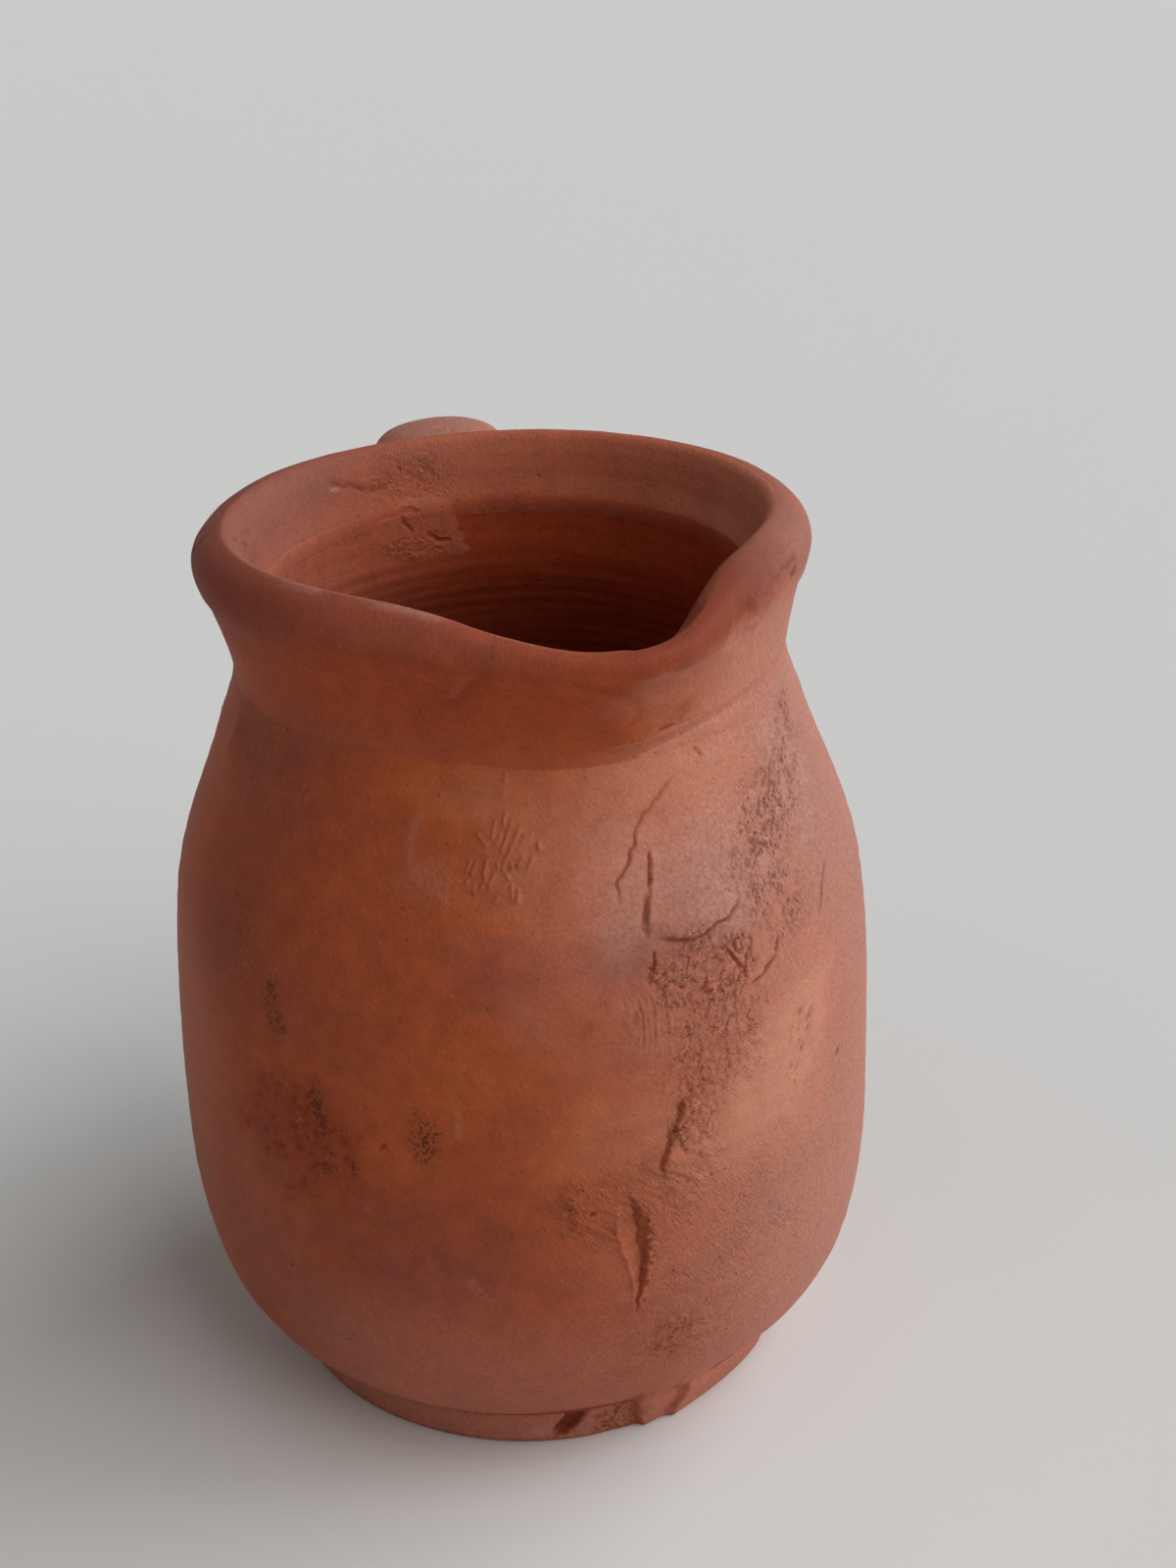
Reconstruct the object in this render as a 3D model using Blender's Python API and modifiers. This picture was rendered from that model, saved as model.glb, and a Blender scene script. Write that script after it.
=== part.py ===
"""A thrown terracotta jug with a pulled spout and a strap handle.

It is put together as a potter does it: a foot disc, a thrown wall, a collar
lapped on to the neck and a strap handle, with a layer of slip in each joint.
Metres, +Z up. The origin is the centre of the foot's underside. The spout
points roughly along -Y and the handle along +Y.
"""

import math

import bmesh
import bpy
from mathutils import Vector

# Foot: a flat disc of clay
FOOT_RADIUS = 0.0475
FOOT_THICKNESS = 0.0072
FOOT_EDGE_ROUND = 0.0012

# Luted joints: a layer of slip with a clearance on each side of it
SLIP_THICKNESS = 0.0006
SLIP_INSET = 0.0006
CLEARANCE = 0.0003

# Thrown wall, from the foot up: its outer radius at each level, and the rise from the level below
WALL_THICKNESS = 0.0062
SEAT_OVERHANG = 0.0015
SEAT_WIDTH = 0.0072
LOW_BELLY_RADIUS = 0.0597
LOW_BELLY_RISE = 0.0139
BELLY_RADIUS = 0.0626
BELLY_RISE = 0.0237
SHOULDER_RADIUS = 0.0602
SHOULDER_RISE = 0.0480
SLOPE_RADIUS = 0.0506
SLOPE_RISE = 0.0282
NECK_RADIUS = 0.0465
NECK_RISE = 0.0138

# Collar: it laps the neck on a bevel that climbs inwards, and ends in a rolled lip
THROAT_RISE = 0.0090
LIP_RADIUS = 0.0518
LIP_RISE = 0.0162
LIP_THICKNESS = 0.0085
LIP_ROUND = 0.0048

# Spout: the lip drawn out and down by a finger, pinched in on both sides of it, and set a little
# off the line through the handle
SPOUT_TURN = math.radians(7)
SPOUT_PULL = 0.0145
SPOUT_DROP = 0.0035
SPOUT_HALF_ANGLE = math.radians(22)
SPOUT_PINCH = 0.0043
PINCH_HALF_ANGLE = math.radians(70)
SPOUT_EASE = 1.5

# Handle: a strap that leaves the collar, arches out and comes back to the belly
STRAP_WIDTH = 0.0230
STRAP_THICKNESS = 0.0090
STRAP_FULLNESS = 0.8
STRAP_ROOT_SWELL = 1.15
HANDLE_TOP_DROP = 0.0095
HANDLE_CREST_RISE = 0.0030
HANDLE_CREST_REACH = 0.0150
HANDLE_BASE_RISE = 0.0240
HANDLE_HEEL_RISE = 0.0090
HANDLE_HEEL_REACH = 0.0150
FINGER_GAP = 0.0230

# Wads: clay thumbed round the strap's ends, this far past the strap on each side
WAD_SIDE_MARGIN = 0.0058
WAD_END_MARGIN = 0.0042
WAD_DEPTH = 0.0075

# Patch of clay pressed on inside the throat, behind the handle's upper end
PATCH_WIDTH = 0.0240
PATCH_HEIGHT = 0.0220
PATCH_DEPTH = 0.0016

# Facets
TURN_SEGMENTS = 48
WALL_STEPS = 4
BEVEL_STEPS = 4
SKIRT_STEPS = 3
LIP_STEPS = 4
STRAP_SECTION_POINTS = 20
STRAP_PATH_STEPS = 6
DAB_SEGMENTS = 24

# Levels and radii that follow from the sizes above
SEAM_HALF = SLIP_THICKNESS / 2 + CLEARANCE
SEAT_HEIGHT = FOOT_THICKNESS + 2 * SEAM_HALF
SEAT_RADIUS = FOOT_RADIUS + SEAT_OVERHANG
LOW_BELLY_HEIGHT = SEAT_HEIGHT + LOW_BELLY_RISE
BELLY_HEIGHT = LOW_BELLY_HEIGHT + BELLY_RISE
SHOULDER_HEIGHT = BELLY_HEIGHT + SHOULDER_RISE
SLOPE_HEIGHT = SHOULDER_HEIGHT + SLOPE_RISE
NECK_HEIGHT = SLOPE_HEIGHT + NECK_RISE
LIP_HEIGHT = NECK_HEIGHT + LIP_RISE
RIM_HEIGHT = LIP_HEIGHT + LIP_ROUND
THROAT_RADIUS = NECK_RADIUS - WALL_THICKNESS
WALL_LEVELS = (
    (SEAT_RADIUS, SEAT_HEIGHT),
    (LOW_BELLY_RADIUS, LOW_BELLY_HEIGHT),
    (BELLY_RADIUS, BELLY_HEIGHT),
    (SHOULDER_RADIUS, SHOULDER_HEIGHT),
    (SLOPE_RADIUS, SLOPE_HEIGHT),
    (NECK_RADIUS, NECK_HEIGHT),
)

# Clay colours after firing
TERRACOTTA = (0.42, 0.155, 0.070)
COLLAR_CLAY = (0.36, 0.125, 0.060)
FOOT_CLAY = (0.33, 0.105, 0.050)
SLIP_CLAY = (0.27, 0.085, 0.042)
BISQUE_ROUGHNESS = 0.85
SHARP_EDGE = math.radians(40)


def clear_scene():
    for old in list(bpy.data.objects):
        bpy.data.objects.remove(old, do_unlink=True)


def new_collection(name):
    made = bpy.data.collections.new(name)
    bpy.context.scene.collection.children.link(made)
    return made


def bisque(name, colour):
    """Unglazed fired clay."""
    material = bpy.data.materials.new(name)
    material.use_nodes = True
    shader = material.node_tree.nodes["Principled BSDF"]
    shader.inputs["Base Color"].default_value = (*colour, 1)
    shader.inputs["Roughness"].default_value = BISQUE_ROUGHNESS
    shader.inputs["Metallic"].default_value = 0
    return material


def finish(part, colour):
    """Shades a part smooth and gives it a clay of its own."""
    part.data.shade_smooth()
    part.data.set_sharp_from_angle(angle=SHARP_EDGE)
    part.data.materials.clear()
    part.data.materials.append(bisque(part.name, colour))
    return part


def helper(cutter):
    cutter.hide_render = True
    cutter.display_type = "WIRE"
    return cutter


# Outline of the thrown wall

def level_slopes(levels):
    """The curve's slope at each level: the geometric mean of the chords below and above it.

    The curve runs upright at its widest and narrowest levels and at the neck.
    """
    chords = [
        (high_radius - low_radius) / (high - low)
        for (low_radius, low), (high_radius, high) in zip(levels, levels[1:])
    ]
    between = [
        math.copysign(math.sqrt(max(below * above, 0)), below)
        for below, above in zip(chords, chords[1:])
    ]
    return [2 * chords[0] - between[0], *between, 0]


def wall_radius(height):
    """The wall's outer radius at a height: a cubic between neighbouring levels."""
    slopes = level_slopes(WALL_LEVELS)
    last = len(WALL_LEVELS) - 2
    index = next((i for i in range(last) if height <= WALL_LEVELS[i + 1][1]), last)
    (low_radius, low_height), (high_radius, high_height) = WALL_LEVELS[index : index + 2]
    rise = high_height - low_height
    t = (height - low_height) / rise
    return (
        low_radius * (1 + 2 * t) * (1 - t) ** 2
        + high_radius * t * t * (3 - 2 * t)
        + rise * t * (1 - t) * (slopes[index] * (1 - t) - slopes[index + 1] * t)
    )


def wall_side():
    """Outer side of the wall, from the neck down to the seat."""
    heights = [NECK_HEIGHT]
    for (_, high), (_, low) in zip(WALL_LEVELS[::-1], WALL_LEVELS[-2::-1]):
        heights += [high + (low - high) * i / WALL_STEPS for i in range(1, WALL_STEPS + 1)]
    return [(wall_radius(height), height) for height in heights]


def lip_quarter(side):
    """A quarter of the rolled lip, from its crest down: 1 for the outer side, -1 for the inner one."""
    half = LIP_THICKNESS / 2
    turns = [math.pi / 2 * i / LIP_STEPS for i in range(LIP_STEPS + 1)]
    return [
        (LIP_RADIUS - half + side * half * math.sin(turn), LIP_HEIGHT + LIP_ROUND * math.cos(turn))
        for turn in turns
    ]


def collar_side():
    """Outer side of the collar, from the crest of the lip down to the joint."""
    roll = lip_quarter(1)
    top = Vector(roll[-1])
    foot = Vector(seam_point(0, SEAM_HALF))
    skirt = [tuple(top.lerp(foot, i / SKIRT_STEPS)) for i in range(1, SKIRT_STEPS + 1)]
    return roll + skirt


def grown(side, distance):
    """A side that runs downwards, moved outwards square to itself."""
    moved = []
    for index, (radius, height) in enumerate(side):
        before = side[max(index - 1, 0)]
        after = side[min(index + 1, len(side) - 1)]
        along = Vector((after[0] - before[0], after[1] - before[1])).normalized()
        moved.append((radius - along.y * distance, height + along.x * distance))
    return moved


def seam_point(inwards, across):
    """A point in the bevelled joint under the collar.

    inwards runs from 0 at the outer face to 1 at the throat. across is the
    distance from the middle of the slip, towards the collar.
    """
    bevel = Vector((-WALL_THICKNESS, THROAT_RISE))
    outwards = Vector((bevel.y, -bevel.x)).normalized()
    point = Vector((NECK_RADIUS, NECK_HEIGHT)) + bevel * inwards + outwards * across
    return (point.x, point.y)


def seam_run(inset, across):
    """Points along the bevelled joint, from the outer face inwards, stopping short of both faces."""
    margin = inset / math.hypot(WALL_THICKNESS, THROAT_RISE)
    shares = [i / BEVEL_STEPS for i in range(1, BEVEL_STEPS)]
    return [seam_point(share, across) for share in (margin, *shares, 1 - margin)]


# Turned pieces

def turned(name, outline, collection):
    """A solid of revolution from an outline that runs down its outer side.

    An outline whose ends lie on the axis stays open there, and any other is closed into a ring.
    """
    mesh = bpy.data.meshes.new(name)
    profile = bmesh.new()
    corners = [profile.verts.new((radius, 0, height)) for radius, height in outline]
    for start, end in zip(corners, corners[1:]):
        profile.edges.new((start, end))
    if outline[0][0] > 0:
        profile.edges.new((corners[-1], corners[0]))
    profile.to_mesh(mesh)
    profile.free()
    part = bpy.data.objects.new(name, mesh)
    collection.objects.link(part)
    screw = part.modifiers.new("Turn", "SCREW")
    screw.axis = "Z"
    screw.steps = TURN_SEGMENTS
    screw.render_steps = TURN_SEGMENTS
    screw.use_merge_vertices = True
    screw.merge_threshold = 0.00001
    return as_mesh(part)


def as_mesh(source):
    """Replaces an object by a plain mesh of its evaluated shape, under the same name."""
    name = source.name
    collection = source.users_collection[0]
    graph = bpy.context.evaluated_depsgraph_get()
    mesh = bpy.data.meshes.new_from_object(source.evaluated_get(graph))
    place = source.matrix_world.copy()
    bpy.data.objects.remove(source, do_unlink=True)
    mesh.name = name
    welded = bmesh.new()
    welded.from_mesh(mesh)
    bmesh.ops.remove_doubles(welded, verts=welded.verts, dist=0.000001)
    bmesh.ops.recalc_face_normals(welded, faces=welded.faces)
    welded.to_mesh(mesh)
    welded.free()
    part = bpy.data.objects.new(name, mesh)
    part.matrix_world = place
    collection.objects.link(part)
    return part


def pull_spout(part):
    """Moves a turned piece's points as the potter's finger does.

    The clay stays put at the neck and moves most at the rim. In front the lip is
    drawn out and down, and beside the spout it is pinched in.
    """
    for vertex in part.data.vertices:
        point = vertex.co
        lift = min(max((point.z - NECK_HEIGHT) / (RIM_HEIGHT - NECK_HEIGHT), 0), 1)
        give = lift**SPOUT_EASE
        from_spout = abs(math.atan2(point.x, -point.y) - SPOUT_TURN)
        from_spout = min(from_spout, 2 * math.pi - from_spout)
        draw = math.exp(-((from_spout / SPOUT_HALF_ANGLE) ** 2))
        pinch = math.exp(-((from_spout / PINCH_HALF_ANGLE) ** 4))
        shift = give * (SPOUT_PULL * draw - SPOUT_PINCH * pinch)
        outwards = Vector((point.x, point.y, 0)).normalized()
        vertex.co = point + outwards * shift - Vector((0, 0, give * SPOUT_DROP * draw))
    return part


def make_foot(parts):
    arc = [math.pi / 6 * i for i in range(4)]
    edge = FOOT_RADIUS - FOOT_EDGE_ROUND
    rounding = [
        (edge + FOOT_EDGE_ROUND * math.cos(turn), FOOT_EDGE_ROUND * (1 - math.sin(turn)))
        for turn in arc
    ]
    outline = [(0, FOOT_THICKNESS), (FOOT_RADIUS, FOOT_THICKNESS), *rounding, (0, 0)]
    finish(turned("foot", outline, parts), FOOT_CLAY)


def make_foot_slip(parts):
    low = FOOT_THICKNESS + CLEARANCE
    high = low + SLIP_THICKNESS
    outer = FOOT_RADIUS - SLIP_INSET
    inner = SEAT_RADIUS - SEAT_WIDTH + SLIP_INSET
    outline = [(outer, high), (outer, low), (inner, low), (inner, high)]
    finish(turned("foot_slip", outline, parts), SLIP_CLAY)


def wall_inner_side():
    """Inner side of the wall, from the neck down to the foot."""
    inner = grown(wall_side(), -WALL_THICKNESS)
    clear_of_foot = [point for point in inner if point[1] > SEAT_HEIGHT + SLIP_THICKNESS]
    return clear_of_foot + [(SEAT_RADIUS - SEAT_WIDTH, SEAT_HEIGHT)]


def make_body_wall(parts):
    bevel_down = list(reversed(seam_run(0, -SEAM_HALF)))
    outline = [*bevel_down, *wall_side()[1:], *reversed(wall_inner_side())]
    finish(pull_spout(turned("body_wall", outline, parts)), TERRACOTTA)


def make_collar_slip(parts):
    half = SLIP_THICKNESS / 2
    outline = [*reversed(seam_run(SLIP_INSET, half)), *seam_run(SLIP_INSET, -half)]
    finish(pull_spout(turned("collar_slip", outline, parts)), SLIP_CLAY)


def make_collar(parts):
    inside_up = reversed(lip_quarter(-1)[1:])
    outline = [*collar_side(), *seam_run(0, SEAM_HALF)[1:], *inside_up]
    finish(pull_spout(turned("collar", outline, parts)), COLLAR_CLAY)


# Handle and the clay round its ends

def collar_radius(height):
    """The collar's outer radius at a height on its straight flare."""
    low_radius, low_height = seam_point(0, SEAM_HALF)
    share = (height - low_height) / (LIP_HEIGHT - low_height)
    return low_radius + (LIP_RADIUS - low_radius) * min(share, 1)


HANDLE_TOP_HEIGHT = RIM_HEIGHT - HANDLE_TOP_DROP
HANDLE_BASE_HEIGHT = BELLY_HEIGHT + HANDLE_BASE_RISE
HANDLE_TOP = Vector((0, collar_radius(HANDLE_TOP_HEIGHT), HANDLE_TOP_HEIGHT))
HANDLE_BASE = Vector((0, wall_radius(HANDLE_BASE_HEIGHT), HANDLE_BASE_HEIGHT))


def pot_solid(name, grow, cutters):
    """The pot's outer shape, filled in and grown outwards, to seat the handle against."""
    side = grown(collar_side(), grow) + grown(wall_side(), grow)
    outline = [(0, side[0][1]), *side, (0, side[-1][1])]
    return helper(turned(name, outline, cutters))


def pot_skin(name, side, cutters):
    """A layer of slip over one side of the pot."""
    outer = grown(side, CLEARANCE + SLIP_THICKNESS)
    inner = grown(side, CLEARANCE)
    return helper(turned(name, [*outer, *reversed(inner)], cutters))


def strap_section(name, grow, cutters):
    """The strap's cross-section: a flat oval with full edges."""
    curve = bpy.data.curves.new(name, "CURVE")
    curve.dimensions = "2D"
    spline = curve.splines.new("POLY")
    spline.points.add(STRAP_SECTION_POINTS - 1)
    spline.use_cyclic_u = True
    for index, point in enumerate(spline.points):
        turn = 2 * math.pi * index / STRAP_SECTION_POINTS
        across, through = math.cos(turn), math.sin(turn)
        wide = math.copysign(abs(across) ** STRAP_FULLNESS, across) * (STRAP_WIDTH / 2 + grow)
        thick = math.copysign(abs(through) ** STRAP_FULLNESS, through) * (STRAP_THICKNESS / 2 + grow)
        point.co = (wide, thick, 0, 1)
    section = bpy.data.objects.new(name, curve)
    cutters.objects.link(section)
    return helper(section)


def strap(name, grow, collection, cutters):
    """The strap swept along its arch, and run on into the clay at both ends."""
    into_clay = STRAP_THICKNESS
    reach = BELLY_RADIUS + FINGER_GAP + STRAP_THICKNESS / 2
    arch_height = (HANDLE_TOP.z + HANDLE_BASE.z) / 2 + STRAP_THICKNESS / 2
    route = (
        (HANDLE_TOP - Vector((0, into_clay, into_clay / 4)), STRAP_ROOT_SWELL),
        (HANDLE_TOP, STRAP_ROOT_SWELL),
        (HANDLE_TOP + Vector((0, HANDLE_CREST_REACH, HANDLE_CREST_RISE)), 1),
        (Vector((0, reach, arch_height)), 1),
        (HANDLE_BASE + Vector((0, HANDLE_HEEL_REACH, HANDLE_HEEL_RISE)), 1),
        (HANDLE_BASE, STRAP_ROOT_SWELL),
        (HANDLE_BASE - Vector((0, into_clay, into_clay / 2)), STRAP_ROOT_SWELL),
    )
    curve = bpy.data.curves.new(name, "CURVE")
    curve.dimensions = "3D"
    curve.resolution_u = STRAP_PATH_STEPS
    curve.twist_mode = "MINIMUM"
    curve.bevel_mode = "OBJECT"
    curve.bevel_object = strap_section(name + "_section", grow, cutters)
    curve.use_fill_caps = True
    spline = curve.splines.new("BEZIER")
    spline.bezier_points.add(len(route) - 1)
    for point, (place, swell) in zip(spline.bezier_points, route):
        point.co = place
        point.handle_left_type = "AUTO"
        point.handle_right_type = "AUTO"
        point.radius = swell
    swept = bpy.data.objects.new(name, curve)
    collection.objects.link(swept)
    return as_mesh(swept)


def cut(part, operation, cutter):
    boolean = part.modifiers.new(cutter.name, "BOOLEAN")
    boolean.operation = operation
    boolean.solver = "EXACT"
    boolean.object = cutter


def dab(name, place, width, depth, height, collection):
    """A lump of clay: a ball pressed to three sizes."""
    mesh = bpy.data.meshes.new(name)
    ball = bmesh.new()
    bmesh.ops.create_uvsphere(ball, u_segments=DAB_SEGMENTS, v_segments=DAB_SEGMENTS // 2, radius=1)
    bmesh.ops.scale(ball, vec=(width / 2, depth / 2, height / 2), verts=ball.verts)
    ball.to_mesh(mesh)
    ball.free()
    part = bpy.data.objects.new(name, mesh)
    part.location = place
    collection.objects.link(part)
    return part


def make_handle(parts, cutters):
    seat = pot_solid("handle_seat", 2 * CLEARANCE + SLIP_THICKNESS, cutters)
    handle = strap("handle", 0, parts, cutters)
    cut(handle, "DIFFERENCE", seat)
    finish(handle, TERRACOTTA)


def make_handle_slips(parts, cutters):
    for name, side in (("handle_top_slip", collar_side()), ("handle_base_slip", wall_side())):
        slip = strap(name, 0, parts, cutters)
        cut(slip, "INTERSECT", pot_skin(name + "_skin", side, cutters))
        finish(slip, SLIP_CLAY)


def make_handle_wads(parts, cutters):
    bed = pot_solid("wad_bed", CLEARANCE, cutters)
    sleeve = helper(strap("wad_sleeve", CLEARANCE, cutters, cutters))
    width = STRAP_WIDTH * STRAP_ROOT_SWELL + 2 * WAD_SIDE_MARGIN
    height = STRAP_THICKNESS * STRAP_ROOT_SWELL + 2 * WAD_END_MARGIN
    for name, place in (("handle_top_wad", HANDLE_TOP), ("handle_base_wad", HANDLE_BASE)):
        wad = dab(name, place, width, 2 * WAD_DEPTH, height, parts)
        cut(wad, "DIFFERENCE", bed)
        cut(wad, "DIFFERENCE", sleeve)
        finish(wad, COLLAR_CLAY)


def make_inner_patch(parts, cutters):
    throat = (seam_point(1, SEAM_HALF), seam_point(1, -SEAM_HALF))
    lined = grown([*lip_quarter(-1)[1:], *throat, *wall_inner_side()], -CLEARANCE)
    outline = [(0, lined[0][1]), *lined, (0, lined[-1][1])]
    hollow = helper(turned("patch_hollow", outline, cutters))
    place = Vector((0, THROAT_RADIUS, NECK_HEIGHT + THROAT_RISE))
    patch = dab("inner_patch", place, PATCH_WIDTH, 2 * PATCH_DEPTH, PATCH_HEIGHT, parts)
    cut(patch, "INTERSECT", hollow)
    finish(patch, COLLAR_CLAY)


clear_scene()
jug = new_collection("jug")
cutters = new_collection("cutters")
make_foot(jug)
make_foot_slip(jug)
make_body_wall(jug)
make_collar_slip(jug)
make_collar(jug)
make_handle(jug, cutters)
make_handle_slips(jug, cutters)
make_handle_wads(jug, cutters)
make_inner_patch(jug, cutters)
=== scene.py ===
import math

import bpy
import numpy as np
from mathutils import Matrix, Vector, noise


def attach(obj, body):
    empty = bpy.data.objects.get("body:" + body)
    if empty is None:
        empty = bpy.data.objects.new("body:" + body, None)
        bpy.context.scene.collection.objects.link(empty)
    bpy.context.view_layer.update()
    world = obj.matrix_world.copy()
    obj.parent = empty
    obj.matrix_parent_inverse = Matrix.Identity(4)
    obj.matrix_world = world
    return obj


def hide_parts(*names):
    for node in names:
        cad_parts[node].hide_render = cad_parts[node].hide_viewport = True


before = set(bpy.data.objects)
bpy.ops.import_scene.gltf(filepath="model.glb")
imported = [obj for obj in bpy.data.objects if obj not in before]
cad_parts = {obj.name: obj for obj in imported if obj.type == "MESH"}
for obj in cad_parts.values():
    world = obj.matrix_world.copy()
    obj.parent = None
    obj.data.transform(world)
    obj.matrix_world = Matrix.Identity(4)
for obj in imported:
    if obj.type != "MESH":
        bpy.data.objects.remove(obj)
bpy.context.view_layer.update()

# Foot: a flat disc of terracotta that the wall stands on. It was cut off the wheel with a twisted
# wire, which left arcs under it, and its edge was chipped and folded over before it was fired.
FOOT_RADIUS = 47.5
FOOT_THICKNESS = 7.2
FOOT_EDGE_ROUND = 1.4
FOOT_TOP_BEVEL = 0.6
FOOT_SEGMENTS = 240
EDGE_CHIPS = ((52, 1.2, 2.2), (60, 3.0, 1.8), (-128, 1.0, 2.6), (150, 2.0, 2.0))
WIRE_CENTRE = (-60, 25)
WIRE_STEP = 3.4
WIRE_DEPTH = 0.28
MM = 0.001
WELD_GAP = 0.002 * MM
STROKE_TWIST = 12
TINTS = ("tone", "red", "hollow_shade", "scuff_and_painted_light", "soot", "torn", "rough")
TAN = (0.52, 0.178, 0.082, 1)
ORANGE_BROWN = (0.425, 0.094, 0.030, 1)
RED_BROWN = (0.35, 0.077, 0.032, 1)
PURPLE_BROWN = (0.26, 0.069, 0.046, 1)
IRON_RED = (0.40, 0.062, 0.019, 1)
# Dark brown that paints shade into cracks, pits, recesses and shaded places
CRACK_SHADE_BROWN = (0.155, 0.028, 0.012, 1)
# Pale dust for dust and wear, also used to paint sheen, highlights and bounce light
CLAY_DUST_AND_PAINTED_LIGHT = (0.60, 0.325, 0.262, 1)
KILN_SOOT = (0.032, 0.017, 0.012, 1)


def smooth(share):
    """Eases a share from 0 to 1."""
    share = np.clip(share, 0, 1)
    return share * share * (3 - 2 * share)


def bell(away):
    """1 at 0, falling towards 0 on both sides."""
    return np.exp(-(away**2))


def throw(name, outline, segments):
    """A piece thrown on the wheel: a point is drawn along the outline, in millimetres, and spun round."""
    bpy.ops.object.select_all(action="DESELECT")
    bpy.ops.mesh.primitive_plane_add(size=MM)
    piece = bpy.context.object
    piece.name = piece.data.name = name
    bpy.ops.object.mode_set(mode="EDIT")
    bpy.ops.mesh.select_all(action="SELECT")
    bpy.ops.mesh.merge(type="CENTER")
    start = (0, 0)
    for step, (radius, height) in enumerate(outline):
        move = ((radius - start[0]) * MM, 0, (height - start[1]) * MM)
        if step == 0:
            bpy.ops.transform.translate(value=move)
        else:
            bpy.ops.mesh.extrude_vertices_move(TRANSFORM_OT_translate={"value": move})
        start = (radius, height)
    bpy.ops.mesh.select_all(action="SELECT")
    bpy.ops.mesh.spin(steps=segments, angle=2 * math.pi, center=(0, 0, 0), axis=(0, 0, 1))
    bpy.ops.mesh.select_all(action="SELECT")
    bpy.ops.mesh.remove_doubles(threshold=WELD_GAP)
    bpy.ops.mesh.normals_make_consistent(inside=False)
    bpy.ops.object.mode_set(mode="OBJECT")
    return piece


def refine(piece, wanted):
    """Cuts each wanted face in four. wanted takes the faces' turns, heights and radii."""
    faces = piece.data.polygons
    centres = np.empty(len(faces) * 3, np.float32)
    faces.foreach_get("center", centres)
    x, y, z = centres.reshape(-1, 3).T / MM
    chosen = wanted(np.degrees(np.arctan2(x, -y)), z, np.hypot(x, y))
    bpy.ops.object.select_all(action="DESELECT")
    piece.select_set(True)
    bpy.context.view_layer.objects.active = piece
    bpy.context.tool_settings.mesh_select_mode = (False, False, True)
    bpy.ops.object.mode_set(mode="EDIT")
    bpy.ops.mesh.select_all(action="DESELECT")
    bpy.ops.object.mode_set(mode="OBJECT")
    faces.foreach_set("select", chosen)
    bpy.ops.object.mode_set(mode="EDIT")
    bpy.ops.mesh.subdivide(number_cuts=1, ngon=False)
    bpy.ops.object.mode_set(mode="OBJECT")
    bpy.context.tool_settings.mesh_select_mode = (True, False, False)


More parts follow.
